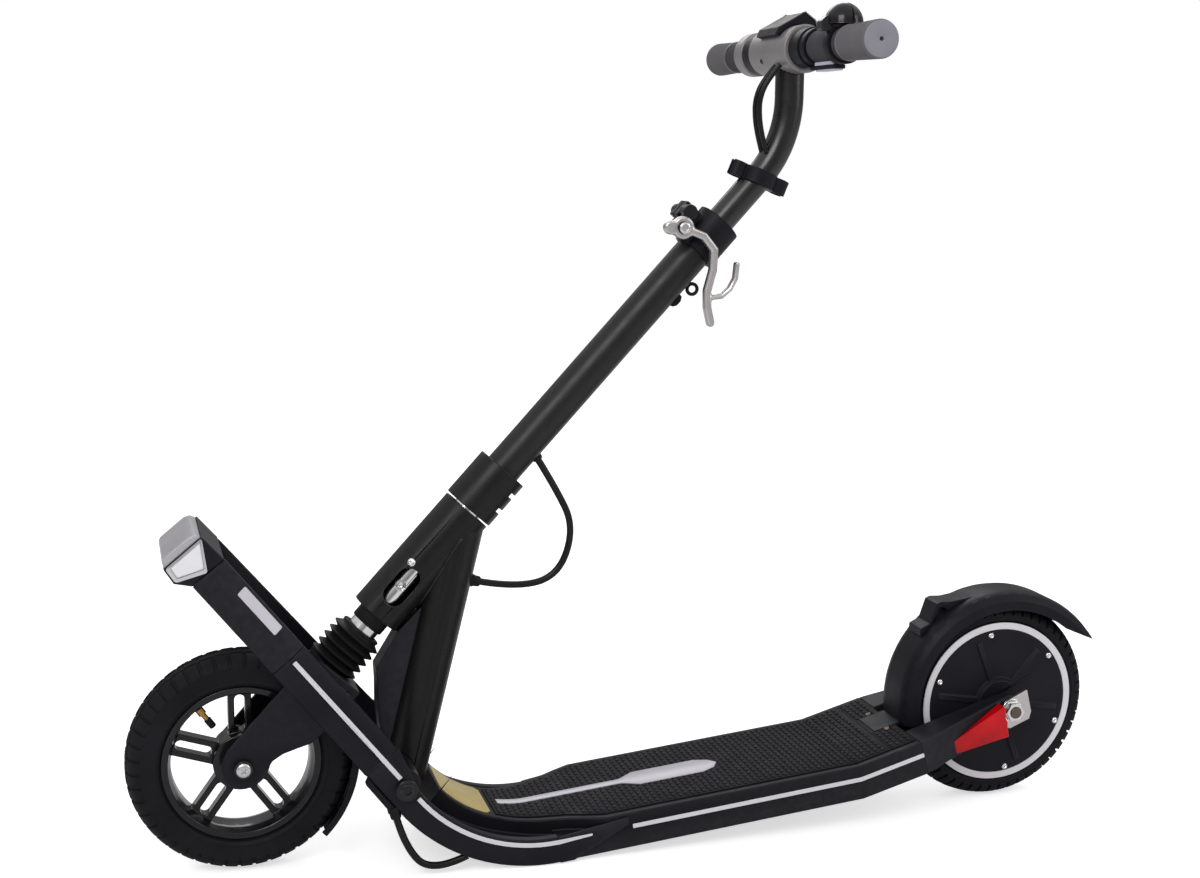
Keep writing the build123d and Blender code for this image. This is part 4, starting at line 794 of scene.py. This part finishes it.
def stations(first, last, count, more=()):
    """Evenly spaced places along the deck, and any more that are asked for."""
    return sorted(set([first + (last - first) * i / count for i in range(count + 1)] + list(more)))


mat_stations = stations(MAT_FIRST, MAT_LAST, 80, [KICK_AT])
mat_sheet = ribbon_sheet(mat_stations, mat_half, MAT_FOOT, MAT_BASE)
mat_base = piece("mat_sheet", *mat_sheet, MAT_RUBBER, "frame")
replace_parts(mat_base, "deck_mat")


def rib_rows(start, rows, bare_half):
    """Short raised ribs in rows across the deck, left out where bare_half says so."""
    pads = []
    for row in range(rows):
        along = start + row * RIB_PITCH
        if abs(along - KICK_AT) < RIB_WIDTH * 0.6:
            continue
        limit = min(mat_half(along - RIB_WIDTH / 2), mat_half(along + RIB_WIDTH / 2)) - RIB_MARGIN
        bare = bare_half(along)
        offset = PAD_PITCH / 2 * (row % 2)
        for column in range(-PADS_ASIDE, PADS_ASIDE + 1):
            first = column * PAD_PITCH + offset + PAD_GAP / 2 - PAD_PITCH / 2
            last = first + PAD_PITCH - PAD_GAP
            first, last = max(first, -limit), min(last, limit)
            if bare and first > -bare and last < bare:
                continue
            if bare and first < bare < last:
                first = bare
            if bare and first < -bare < last:
                last = -bare
            if last - first < RIB_LEAST:
                continue
            foot = [(along - RIB_WIDTH / 2, first), (along + RIB_WIDTH / 2, first),
                    (along + RIB_WIDTH / 2, last), (along - RIB_WIDTH / 2, last)]
            inner = [(a + 0.55 * (1 if a < along else -1), y + 0.5 * (1 if y == first else -1))
                     for a, y in foot]
            verts = [deck_spot(a, y, MAT_BASE - RIB_SINK) for a, y in foot]
            verts += [deck_spot(a, y, MAT_TOP) for a, y in inner]
            pads.append((verts, [(4, 5, 6, 7), (0, 1, 5, 4), (1, 2, 6, 5), (2, 3, 7, 6), (3, 0, 4, 7)]))
    return merged(pads)


def round_plate(along):
    """Half width that the ribs leave bare round the stripe and plate."""
    bare = max(plate_half(along), plate_half(along - 2), plate_half(along + 2))
    return bare + PLATE_GAP if plate_half(along) else 0


row_count = int((MAT_LAST - MAT_FIRST - 6) / RIB_PITCH) + 1
piece("mat_ribs", *rib_rows(MAT_FIRST + 4, row_count, round_plate), MAT_RUBBER, "frame", sharp=30)
tail_sheet = ribbon_sheet(stations(MAT_LAST + 0.6, TAIL_LAST, 4), mat_half, MAT_FOOT, MAT_BASE)
piece("tail_mat", *tail_sheet, MAT_RUBBER, "frame")
tail_ribs = rib_rows(MAT_LAST + 4, TAIL_ROWS, lambda along: FOOT_HALF)
piece("tail_ribs", *tail_ribs, MAT_RUBBER, "frame", sharp=30)
stripe_stations = stations(STRIPE_FIRST, PLATE_LINE[0][0], 40) + [a for a, half in PLATE_LINE[1:-1]]
stripe_stations += [176, 180, 183, 188, 190, 191.4, PLATE_LINE[-1][0]]
stripe = ribbon_sheet(sorted(stripe_stations), lambda a: max(plate_half(a), 0.6), 0.8, MAT_TOP - 0.1, 0.15)
piece("mat_stripe", *stripe, PLATE, "frame")


# Khaki panel on the tongue, between two angles of its curve, and bare pale plate on the near rail
KHAKI_FIRST = 222.5
KHAKI_LAST = 253.0
KHAKI_HALF = 35.0
KHAKI_CORNER = 6.0
KHAKI_LENGTH = FLOOR_R * math.radians(KHAKI_LAST - KHAKI_FIRST)
PANEL_ROWS = 14
RAIL_PLATE_FIRST = 207.5
RAIL_PLATE_LAST = 258.5
RAIL_PLATE_CORNER = 1.6
# The rail cover's sloping face: its crease, its rise and lean, and the part of it under the plate
CREASE = 2.5
FACE_RISE = 13.3
FACE_LEAN = 6.5
FACE_WIDTH = math.hypot(FACE_RISE, FACE_LEAN)
FACE_FROM = 0.06
FACE_TO = 0.80
NUDGE = 0.06


def khaki_spot(along, y, up):
    return floor_spot(KHAKI_FIRST + math.degrees(along / FLOOR_R), y, up)


def curved_panel(to_place, length, half, corner, low, high):
    """Verts and faces of a panel with rounded corners and softened edges that follows a curve."""
    verts = []
    for index in range(PANEL_ROWS + 1):
        along = length * index / PANEL_ROWS
        cut = max(0, corner - min(along, length - along))
        wide = half - (corner - math.sqrt(max(0, corner ** 2 - cut ** 2)))
        section = [(-wide, low), (-wide, high - 0.3), (-wide + 0.4, high), (wide - 0.4, high),
                   (wide, high - 0.3), (wide, low)]
        verts += [to_place(along, y, up) for y, up in section]
    return verts, skin(PANEL_ROWS + 1, len(section))


panel = curved_panel(khaki_spot, KHAKI_LENGTH, KHAKI_HALF, KHAKI_CORNER, -0.3, 0.9)
piece("khaki_panel", *panel, KHAKI, "frame")


def face_spot(along, across, up):
    """A place on the sloping upper face of the near rail's cover."""
    edge = -front_half(along)
    on = front_spot(along, edge + FACE_LEAN * across, CREASE + FACE_RISE * across)
    beside = front_spot(along, edge - FACE_RISE * NUDGE, CREASE + FACE_LEAN * NUDGE)
    out = beside - front_spot(along, edge, CREASE)
    return on + out.normalized() * up * MM


plate_length = RAIL_PLATE_LAST - RAIL_PLATE_FIRST
plate_low, plate_high = FACE_FROM * FACE_WIDTH, FACE_TO * FACE_WIDTH
plate_corners = [(0, plate_low), (plate_length, plate_low), (plate_length, plate_high), (0, plate_high)]
plate_line = rounded(plate_corners, RAIL_PLATE_CORNER)
rail_plate = prism(plate_line, -0.3, 0.55,
                   lambda a, b, up: face_spot(RAIL_PLATE_FIRST + a, b / FACE_WIDTH, up))
bevelled(piece("rail_plate", *rail_plate, PLATE, "frame"), 0.25)


# Grips with fine rings, and their pale outer ends and end faces, in heights along the bar
GRIP_R = 15.5
GRIP_END_R = 17.2
BAR_R = 11.0
BAR_HALF = 204.0
LEFT_GRIP = (-143, -73)
RIGHT_GRIP = (107, 150)
RING_PITCH = 2.6
RING_DEPTH = 0.5
CAP_PITCH = 2.0
CAP_MARGIN = 1.5
CAP_LIP = 0.5
GRIP_STEPS = 56


def ringed(low, high):
    """A (radius, height) outline of a grip with fine rings."""
    line = [(BAR_R, low), (GRIP_R - 0.8, low), (GRIP_R, low + 0.8)]
    count = int((high - low - 3) / RING_PITCH)
    start = low + ((high - low) - count * RING_PITCH) / 2
    for number in range(count):
        at = start + number * RING_PITCH
        line += [(GRIP_R, at + 0.08 * RING_PITCH), (GRIP_R - RING_DEPTH, at + 0.3 * RING_PITCH),
                 (GRIP_R - RING_DEPTH, at + 0.5 * RING_PITCH), (GRIP_R, at + 0.72 * RING_PITCH)]
    return line + [(GRIP_R, high - 0.8), (GRIP_R - 0.8, high), (BAR_R, high)]


def end_cap(low, high, side):
    """A grip end that widens outward, with fine rings and a seat for its face."""
    line = [(BAR_R, low), (GRIP_R + 0.2, low), (GRIP_R + 0.7, low + 0.6)]
    length = high - low - 2 * CAP_MARGIN
    count = int(length / CAP_PITCH)
    for number in range(count):
        at = low + CAP_MARGIN + number * length / count
        wide = GRIP_R + CAP_LIP + (GRIP_END_R - GRIP_R - CAP_LIP) * number / (count - 1)
        line += [(wide, at), (wide - 0.6, at + 0.5), (wide - 0.6, at + 1.1), (wide, at + 1.6)]
    line += [(GRIP_END_R, high + 1.4), (GRIP_END_R - 0.4, high + 2.6), (GRIP_END_R - 0.8, high + 2.9),
             (1.9, high + 2.9), (1.8, high + 0.8), (0.05, high + 0.6), (0.05, high - 0.2),
             (BAR_R, high - 0.2)]
    return [(r, side * h) for r, h in line]


def end_face(high, side):
    """The paler disc on a grip's end, with a small hole."""
    line = [(2.0, high + 2.6), (GRIP_END_R - 0.8, high + 2.6), (GRIP_END_R - 0.8, high + 3.2),
            (GRIP_END_R - 1.4, high + 3.8), (GRIP_END_R - 2.4, high + 4.0), (2.3, high + 4.0),
            (2.0, high + 3.7)]
    return [(r, side * h) for r, h in line]


def on_bar(name, line, material, node):
    """A turned piece on the bar that stands for a CAD node."""
    made = piece(name, *lathe(line, BAR, GRIP_STEPS), material, "upper_stem", sharp=50)
    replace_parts(made, node)


on_bar("left_grip", ringed(*LEFT_GRIP), GRIP_DARK, "grips")
on_bar("right_grip", ringed(*RIGHT_GRIP), GRIP_DARK, "grips")
for hand, inner_end, side in (("left", -LEFT_GRIP[0], -1), ("right", RIGHT_GRIP[1], 1)):
    on_bar(hand + "_grip_end", end_cap(inner_end, BAR_HALF, side), GRIP_GREY, "grip_ends")
    on_bar(hand + "_grip_face", end_face(BAR_HALF, side), GRIP_FACE, "grip_ends")


# Bell: a domed gong on a base and clamp band
BAR_X = 548.5
BAR_Z = 785.0
BELL_Y = -124.5
BELL_R = 18.0
BELL_TOP = 822.0
GONG_DEPTH = 19
BELL = axes(spot(BAR_X, BELL_Y, 0), (1, 0, 0), UP)
gong_turns = [math.radians(a) for a in range(8, 85, 8)]
gong = [(0.05, BELL_TOP)]
gong += [(BELL_R * math.sin(turn), BELL_TOP - GONG_DEPTH * (1 - math.cos(turn))) for turn in gong_turns]
gong += [(BELL_R, BELL_TOP - 18.4), (BELL_R + 0.2, BELL_TOP - 19.6), (BELL_R - 0.8, BELL_TOP - 19.8),
         (BELL_R - 2, BELL_TOP - 17), (0.05, BELL_TOP - 16)]
bell_base = [(0.05, BAR_Z + 13), (13.5, BAR_Z + 13), (15.5, BAR_Z + 15), (16, BELL_TOP - 20.6),
             (14.5, BELL_TOP - 19.4), (0.05, BELL_TOP - 19.4)]
band = [(GRIP_R + 0.05, -132), (18.2, -132), (18.5, -131.4), (18.5, -120.6), (18.2, -120),
        (GRIP_R + 0.05, -120)]
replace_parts(piece("bell_gong", *lathe(gong, BELL, 56), GLOSS_BLACK, "upper_stem", sharp=40), "bell")
bell_mount = merged([lathe(bell_base, BELL, 48), lathe(band, BAR, 48)])
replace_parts(piece("bell_base", *bell_mount, MOULDED, "upper_stem"), "bell")


# Lamps of the nose: white side windows in silver frames
WINDOW = [(317, 11), (295, -3), (305, -27), (317, -25)]
BEZEL = [(318.8, 14.0), (290.8, -3.2), (303.0, -30.6), (318.8, -28.8)]
BEZEL_LOW = 47.8
BEZEL_HIGH = 49.3
WINDOW_CORNER = 2.0
BEZEL_CORNER = 3.0


def framed(inner, outer, low, high, to_place):
    """Verts and faces of a flat frame between two outlines of as many points."""
    verts = []
    for outline, level in ((outer, low), (outer, high - 0.5), (inner, high), (inner, low)):
        verts += [to_place(a, b, level) for a, b in outline]
    return verts, skin(4, len(inner), closed=True)


bezels = []
for side in (-1, 1):
    bezels.append(framed(rounded(WINDOW, WINDOW_CORNER), rounded(BEZEL, BEZEL_CORNER), BEZEL_LOW, BEZEL_HIGH,
                         lambda a, b, level: front_spot(a, side * level, b)))
piece("lamp_bezels", *merged(bezels), ZINC, "frame")
lens_node = NODES["lamp_lenses"]
lens_node.data.materials.append(LENS_WHITE)
for face in lens_node.data.polygons:
    if abs((lens_node.matrix_world @ face.center).y) > (NOSE_HALF + 0.2) * MM:
        face.material_index = 1


# Screws: where they sit, in millimetres and degrees
HUB_SCREWS_R = 74.5
HUB_SCREW_TURNS = range(39, 399, 60)
HUB_FACE = 24.9
AXLE_FACE = 38.9
HINGE_FACE = 84.9
LEVER_FACE = 37.4
HEAD_SCREW = Vector((-13.0, -21.94, 249.0))
TAIL_SCREW_AT = KICK_AT + 59
TAIL_SCREW_Y = 24
BAR_HUB_R = 22.6
BAR_HUB_Y = 28
BAR_HUB_TURN = math.radians(206)


def facing(origin, outward):
    """A placing whose z axis points outward."""
    outward = Vector(outward).normalized()
    return axes(origin, outward.orthogonal(), outward)


def round_axle(centre, radius, turns, level):
    """Placings on both sides of a wheel, on a circle."""
    places = []
    for side in (-1, 1):
        for turn in turns:
            angle = math.radians(turn)
            reach = Vector((math.cos(angle), 0, math.sin(angle))) * radius * MM
            places.append(facing(centre + reach + ACROSS * side * level * MM, ACROSS * side))
    return places


heads("hub_screws", round_axle(REAR.translation, HUB_SCREWS_R, HUB_SCREW_TURNS, HUB_FACE), "hex", POLISHED,
      "rear_wheel", radius=3.3, height=2.4)
heads("axle_screws", round_axle(FRONT.translation, 0, [0], AXLE_FACE), "cross", ZINC, "fork",
      radius=6.8, height=2.6)
heads("hinge_screws", round_axle(joint_place("fold"), 0, [0], HINGE_FACE), "hex", GLOSS_BLACK, "frame",
      radius=6.5, height=1.8)
head_out = (STEM.to_3x3() @ Vector((HEAD_SCREW.x, HEAD_SCREW.y, 0))).normalized()
heads("head_screw", [facing(on_stem(*HEAD_SCREW), head_out)], "hex", POLISHED, "front_arm",
      radius=4.0, height=2.6)
tail_up = (deck_spot(TAIL_SCREW_AT, 0, 3) - deck_spot(TAIL_SCREW_AT, 0, 0)).normalized()
tail_places = [facing(deck_spot(TAIL_SCREW_AT, y, 1.6), tail_up) for y in (-TAIL_SCREW_Y, TAIL_SCREW_Y)]
heads("tail_screws", tail_places, "cross", STEEL_DARK, "frame", radius=3.4, height=1.8)
hub_out = Vector((math.cos(BAR_HUB_TURN), 0, math.sin(BAR_HUB_TURN)))
hub_place = facing(spot(BAR_X, BAR_HUB_Y, BAR_Z) + hub_out * BAR_HUB_R * MM, hub_out)
heads("hub_socket", [hub_place], "hex", GLOSS_BLACK, "upper_stem", radius=2.8, height=1.2)
lever_pin = joint_place("clamp_lever_turn")
lever_places = [facing(Vector((lever_pin.x, -LEVER_FACE * MM, lever_pin.z)), -ACROSS)]
heads("lever_screw", lever_places, "hex", ZINC, "steering", radius=5.6, height=1.8)


# Small fittings of the column: a dark sleeve that paints the stanchion's dark reflection, ring and stop
# under the stem, cable grommets and the weld
REFLECTION_SLEEVE_LOW = 174.5
REFLECTION_SLEEVE_HIGH = 187.0
REFLECTION_SLEEVE_BORE_R = 15.3
REFLECTION_SLEEVE_R = 16.9
RING_ACROSS = 24.5
RING_ALONG = 631.0
RING_R = 5.2
RING_WIRE_R = 1.8
RING_STEPS = 28
STOP_LINE = [(16.5, 604), (16.5, 618), (20, 618), (22.5, 614), (22.5, 608), (20, 604)]
STOP_HALF = 5
# Painted reflection: this dark rubber sleeve stands for the dark reflection on the upper part of the chrome
# stanchion
reflection_sleeve_line = [(REFLECTION_SLEEVE_BORE_R, REFLECTION_SLEEVE_LOW), (REFLECTION_SLEEVE_R - 0.5, REFLECTION_SLEEVE_LOW), (REFLECTION_SLEEVE_R, REFLECTION_SLEEVE_LOW + 0.8),
             (REFLECTION_SLEEVE_R, REFLECTION_SLEEVE_HIGH), (REFLECTION_SLEEVE_BORE_R, REFLECTION_SLEEVE_HIGH)]
piece("fork_dark_reflection_sleeve", *lathe(reflection_sleeve_line, STEM, 48), BELLOWS, "steering")
ring_turns = [2 * math.pi * step / RING_STEPS for step in range(RING_STEPS)]
ring_line = [on_stem(RING_ACROSS + RING_R * math.cos(turn), 0, RING_ALONG + RING_R * math.sin(turn))
             for turn in ring_turns]
stop = prism(rounded(STOP_LINE, 1.2, 3), -STOP_HALF, STOP_HALF, lambda a, b, y: on_stem(a, y, b))
ring = tube(ring_line, RING_WIRE_R, 10, closed=True)
piece("stem_ring", *merged([ring, stop]), MOULDED, "steering")


def grommet(name, points, body):
    """A moulded sleeve where a cable enters, along its first run."""
    heading = (points[1] - points[0]).normalized()
    bore = LOOP_R + 0.05
    line = [(bore, -4), (6.4, -4), (6.4, 1.5), (5.6, 2.2), (5.2, 7.5), (4.6, 8.5), (bore, 8.5)]
    piece(name, *lathe(line, facing(points[0], heading), 28), MOULDED, body)


grommet("stem_grommet", upper_points, "steering")
grommet("strut_grommet", upper_points[::-1], "front_arm")
grommet("rail_grommet", lower_points, "frame")

# The weld follows the line where the strut's front meets the head tube, found by halving
STRUT_LEAN = math.radians(76.5)
STRUT_FOOT = spot(158.4, 0, 91.4)
STRUT_R = 24.0
HEAD_R = 25.5
HEAD_HIGH = 321.4
WELD_R = 1.7
WELD_STEPS = 120
WELD_REACH = 0.4
HALVINGS = 40
strut_dir = Vector((math.cos(STRUT_LEAN), 0, math.sin(STRUT_LEAN)))
strut_side = Vector((math.sin(STRUT_LEAN), 0, -math.cos(STRUT_LEAN)))
to_stem = STEM.inverted()
bead = []
for step in range(WELD_STEPS + 1):
    turn = math.pi * (-0.5 - step / WELD_STEPS)
    bead_from = STRUT_FOOT + (strut_side * math.cos(turn) + ACROSS * math.sin(turn)) * STRUT_R * MM
    low, high = 0.0, WELD_REACH
    for _ in range(HALVINGS):
        half = (low + high) / 2
        local = to_stem @ (bead_from + strut_dir * half)
        outside = math.hypot(local.x, local.y) > HEAD_R * MM and local.x > -0.2 * MM
        low, high = (half, high) if outside else (low, half)
    met = bead_from + strut_dir * low
    if (to_stem @ met).z < (HEAD_HIGH - 1) * MM and low < WELD_REACH - 0.01:
        bead.append(met)
piece("weld_bead", *tube(bead, WELD_R), STEM_BLACK, "front_arm", sharp=60)


# Valve cap
VALVE_TURN = math.radians(126)
VALVE_FOOT = 65.6
VALVE_Y = 6
CAP_LINE = [(0.05, 23.4), (2.6, 23.4), (3.4, 22.6), (3.6, 14.0), (3.0, 13.0), (0.05, 13.0)]
valve_in = Vector((-math.cos(VALVE_TURN), 0, -math.sin(VALVE_TURN)))
valve_foot = FRONT.translation - valve_in * VALVE_FOOT * MM - ACROSS * VALVE_Y * MM
piece("valve_cap", *lathe(CAP_LINE, facing(valve_foot, valve_in), 24), MOULDED, "front_wheel")


# Display trim and glass, the throttle's pale underside (painted reflection), bell lever and bracket, and the
# rings between grips and ends.
# Outlines are beside the bar's axis, as x and up.
TRIM_LINE = [(3.5, 35.6), (5.6, 37.0), (17.6, 28.6), (21.7, 12.2), (20.3, 11.8), (16.2, 27.6), (5.2, 35.6)]
GLASS_LINE = [(5.4, 35.8), (5.9, 36.6), (16.9, 28.6), (16.3, 27.8)]
GLASS_SPAN = (-12.4, 30.4)
TRIM_SPANS = ((-19.0, -12.5), (30.5, 37.0))
UNDERSIDE_REFLECTION_LINE = [(-5.4, 0), (5.4, 0), (5.4, 44), (-5.4, 44)]
UNDERSIDE_REFLECTION_CORNER = 4.0
UNDERSIDE_REFLECTION_FROM = -116.5
UNDERSIDE_REFLECTION_DOWN = (21.6, 23.4)
FILL_LINE = [(-6.5, -18.1), (-6.5, -14.6), (-3.4, -15.7), (0, -16.0), (3.4, -15.7), (6.5, -14.6),
             (6.5, -18.1)]
FILL_SPAN = (-116, -74)
BRACKET_LINE = [(-24, 11), (-24, 20), (-18, 25), (-10, 25), (-10, 11)]
BELL_LEVER_R = 0.8
RING_SHIFT = RIGHT_GRIP[1] + LEFT_GRIP[0]
LEVER_STEPS = 16


def at_bar(x, up, y):
    """A place beside the bar's axis."""
    return spot(BAR_X + x, y, BAR_Z + up)


trim = merged([prism(TRIM_LINE, *span, at_bar) for span in TRIM_SPANS])
bevelled(piece("display_trim", *trim, POLISHED, "upper_stem"), 0.5)
piece("display_glass", *prism(GLASS_LINE, *GLASS_SPAN, at_bar), SCREEN, "upper_stem")
# The throttle's pale underside, paddle and fill: painted reflection, not a colour of the part
underside_reflection_line = rounded(UNDERSIDE_REFLECTION_LINE, UNDERSIDE_REFLECTION_CORNER)
paddle_painted_reflection = prism(underside_reflection_line, *UNDERSIDE_REFLECTION_DOWN, lambda x, run, down: at_bar(x, -down, UNDERSIDE_REFLECTION_FROM + run))
paddle_fill = prism(FILL_LINE, *FILL_SPAN, at_bar)
bevelled(piece("throttle_painted_reflection", *merged([paddle_painted_reflection, paddle_fill]), PAINTED_PADDLE_REFLECTION, "throttle"), 0.7)
lever_line = []
for step in range(LEVER_STEPS + 1):
    turn = math.radians(18 + 70 * step / LEVER_STEPS)
    aside, above = 19.4 * math.sin(turn), 18.4 * math.cos(turn)
    lever_line.append(spot(BAR_X + 3, BELL_Y - aside, BELL_TOP - 19.5 + above))
lever_line.append(spot(BAR_X + 1, BELL_Y - 20.6, BELL_TOP - 21))
bracket = prism(rounded(BRACKET_LINE, 2.0, 3), BELL_Y - 5, BELL_Y + 6, at_bar)
piece("bell_lever", *merged([tube(lever_line, BELL_LEVER_R), bracket]), GLOSS_BLACK, "upper_stem")
left_ring = [(GRIP_R + 0.02, -144.2), (GRIP_R + 0.9, -144.2), (GRIP_R + 1.1, -143.6), (GRIP_R + 0.9, -142.8),
             (GRIP_R + 0.02, -142.8)]
right_ring = [(r, -h + RING_SHIFT) for r, h in left_ring]
grip_rings = merged([lathe(left_ring, BAR, 48), lathe(right_ring, BAR, 48)])
piece("grip_rings", *grip_rings, GREY_ALLOY, "upper_stem")
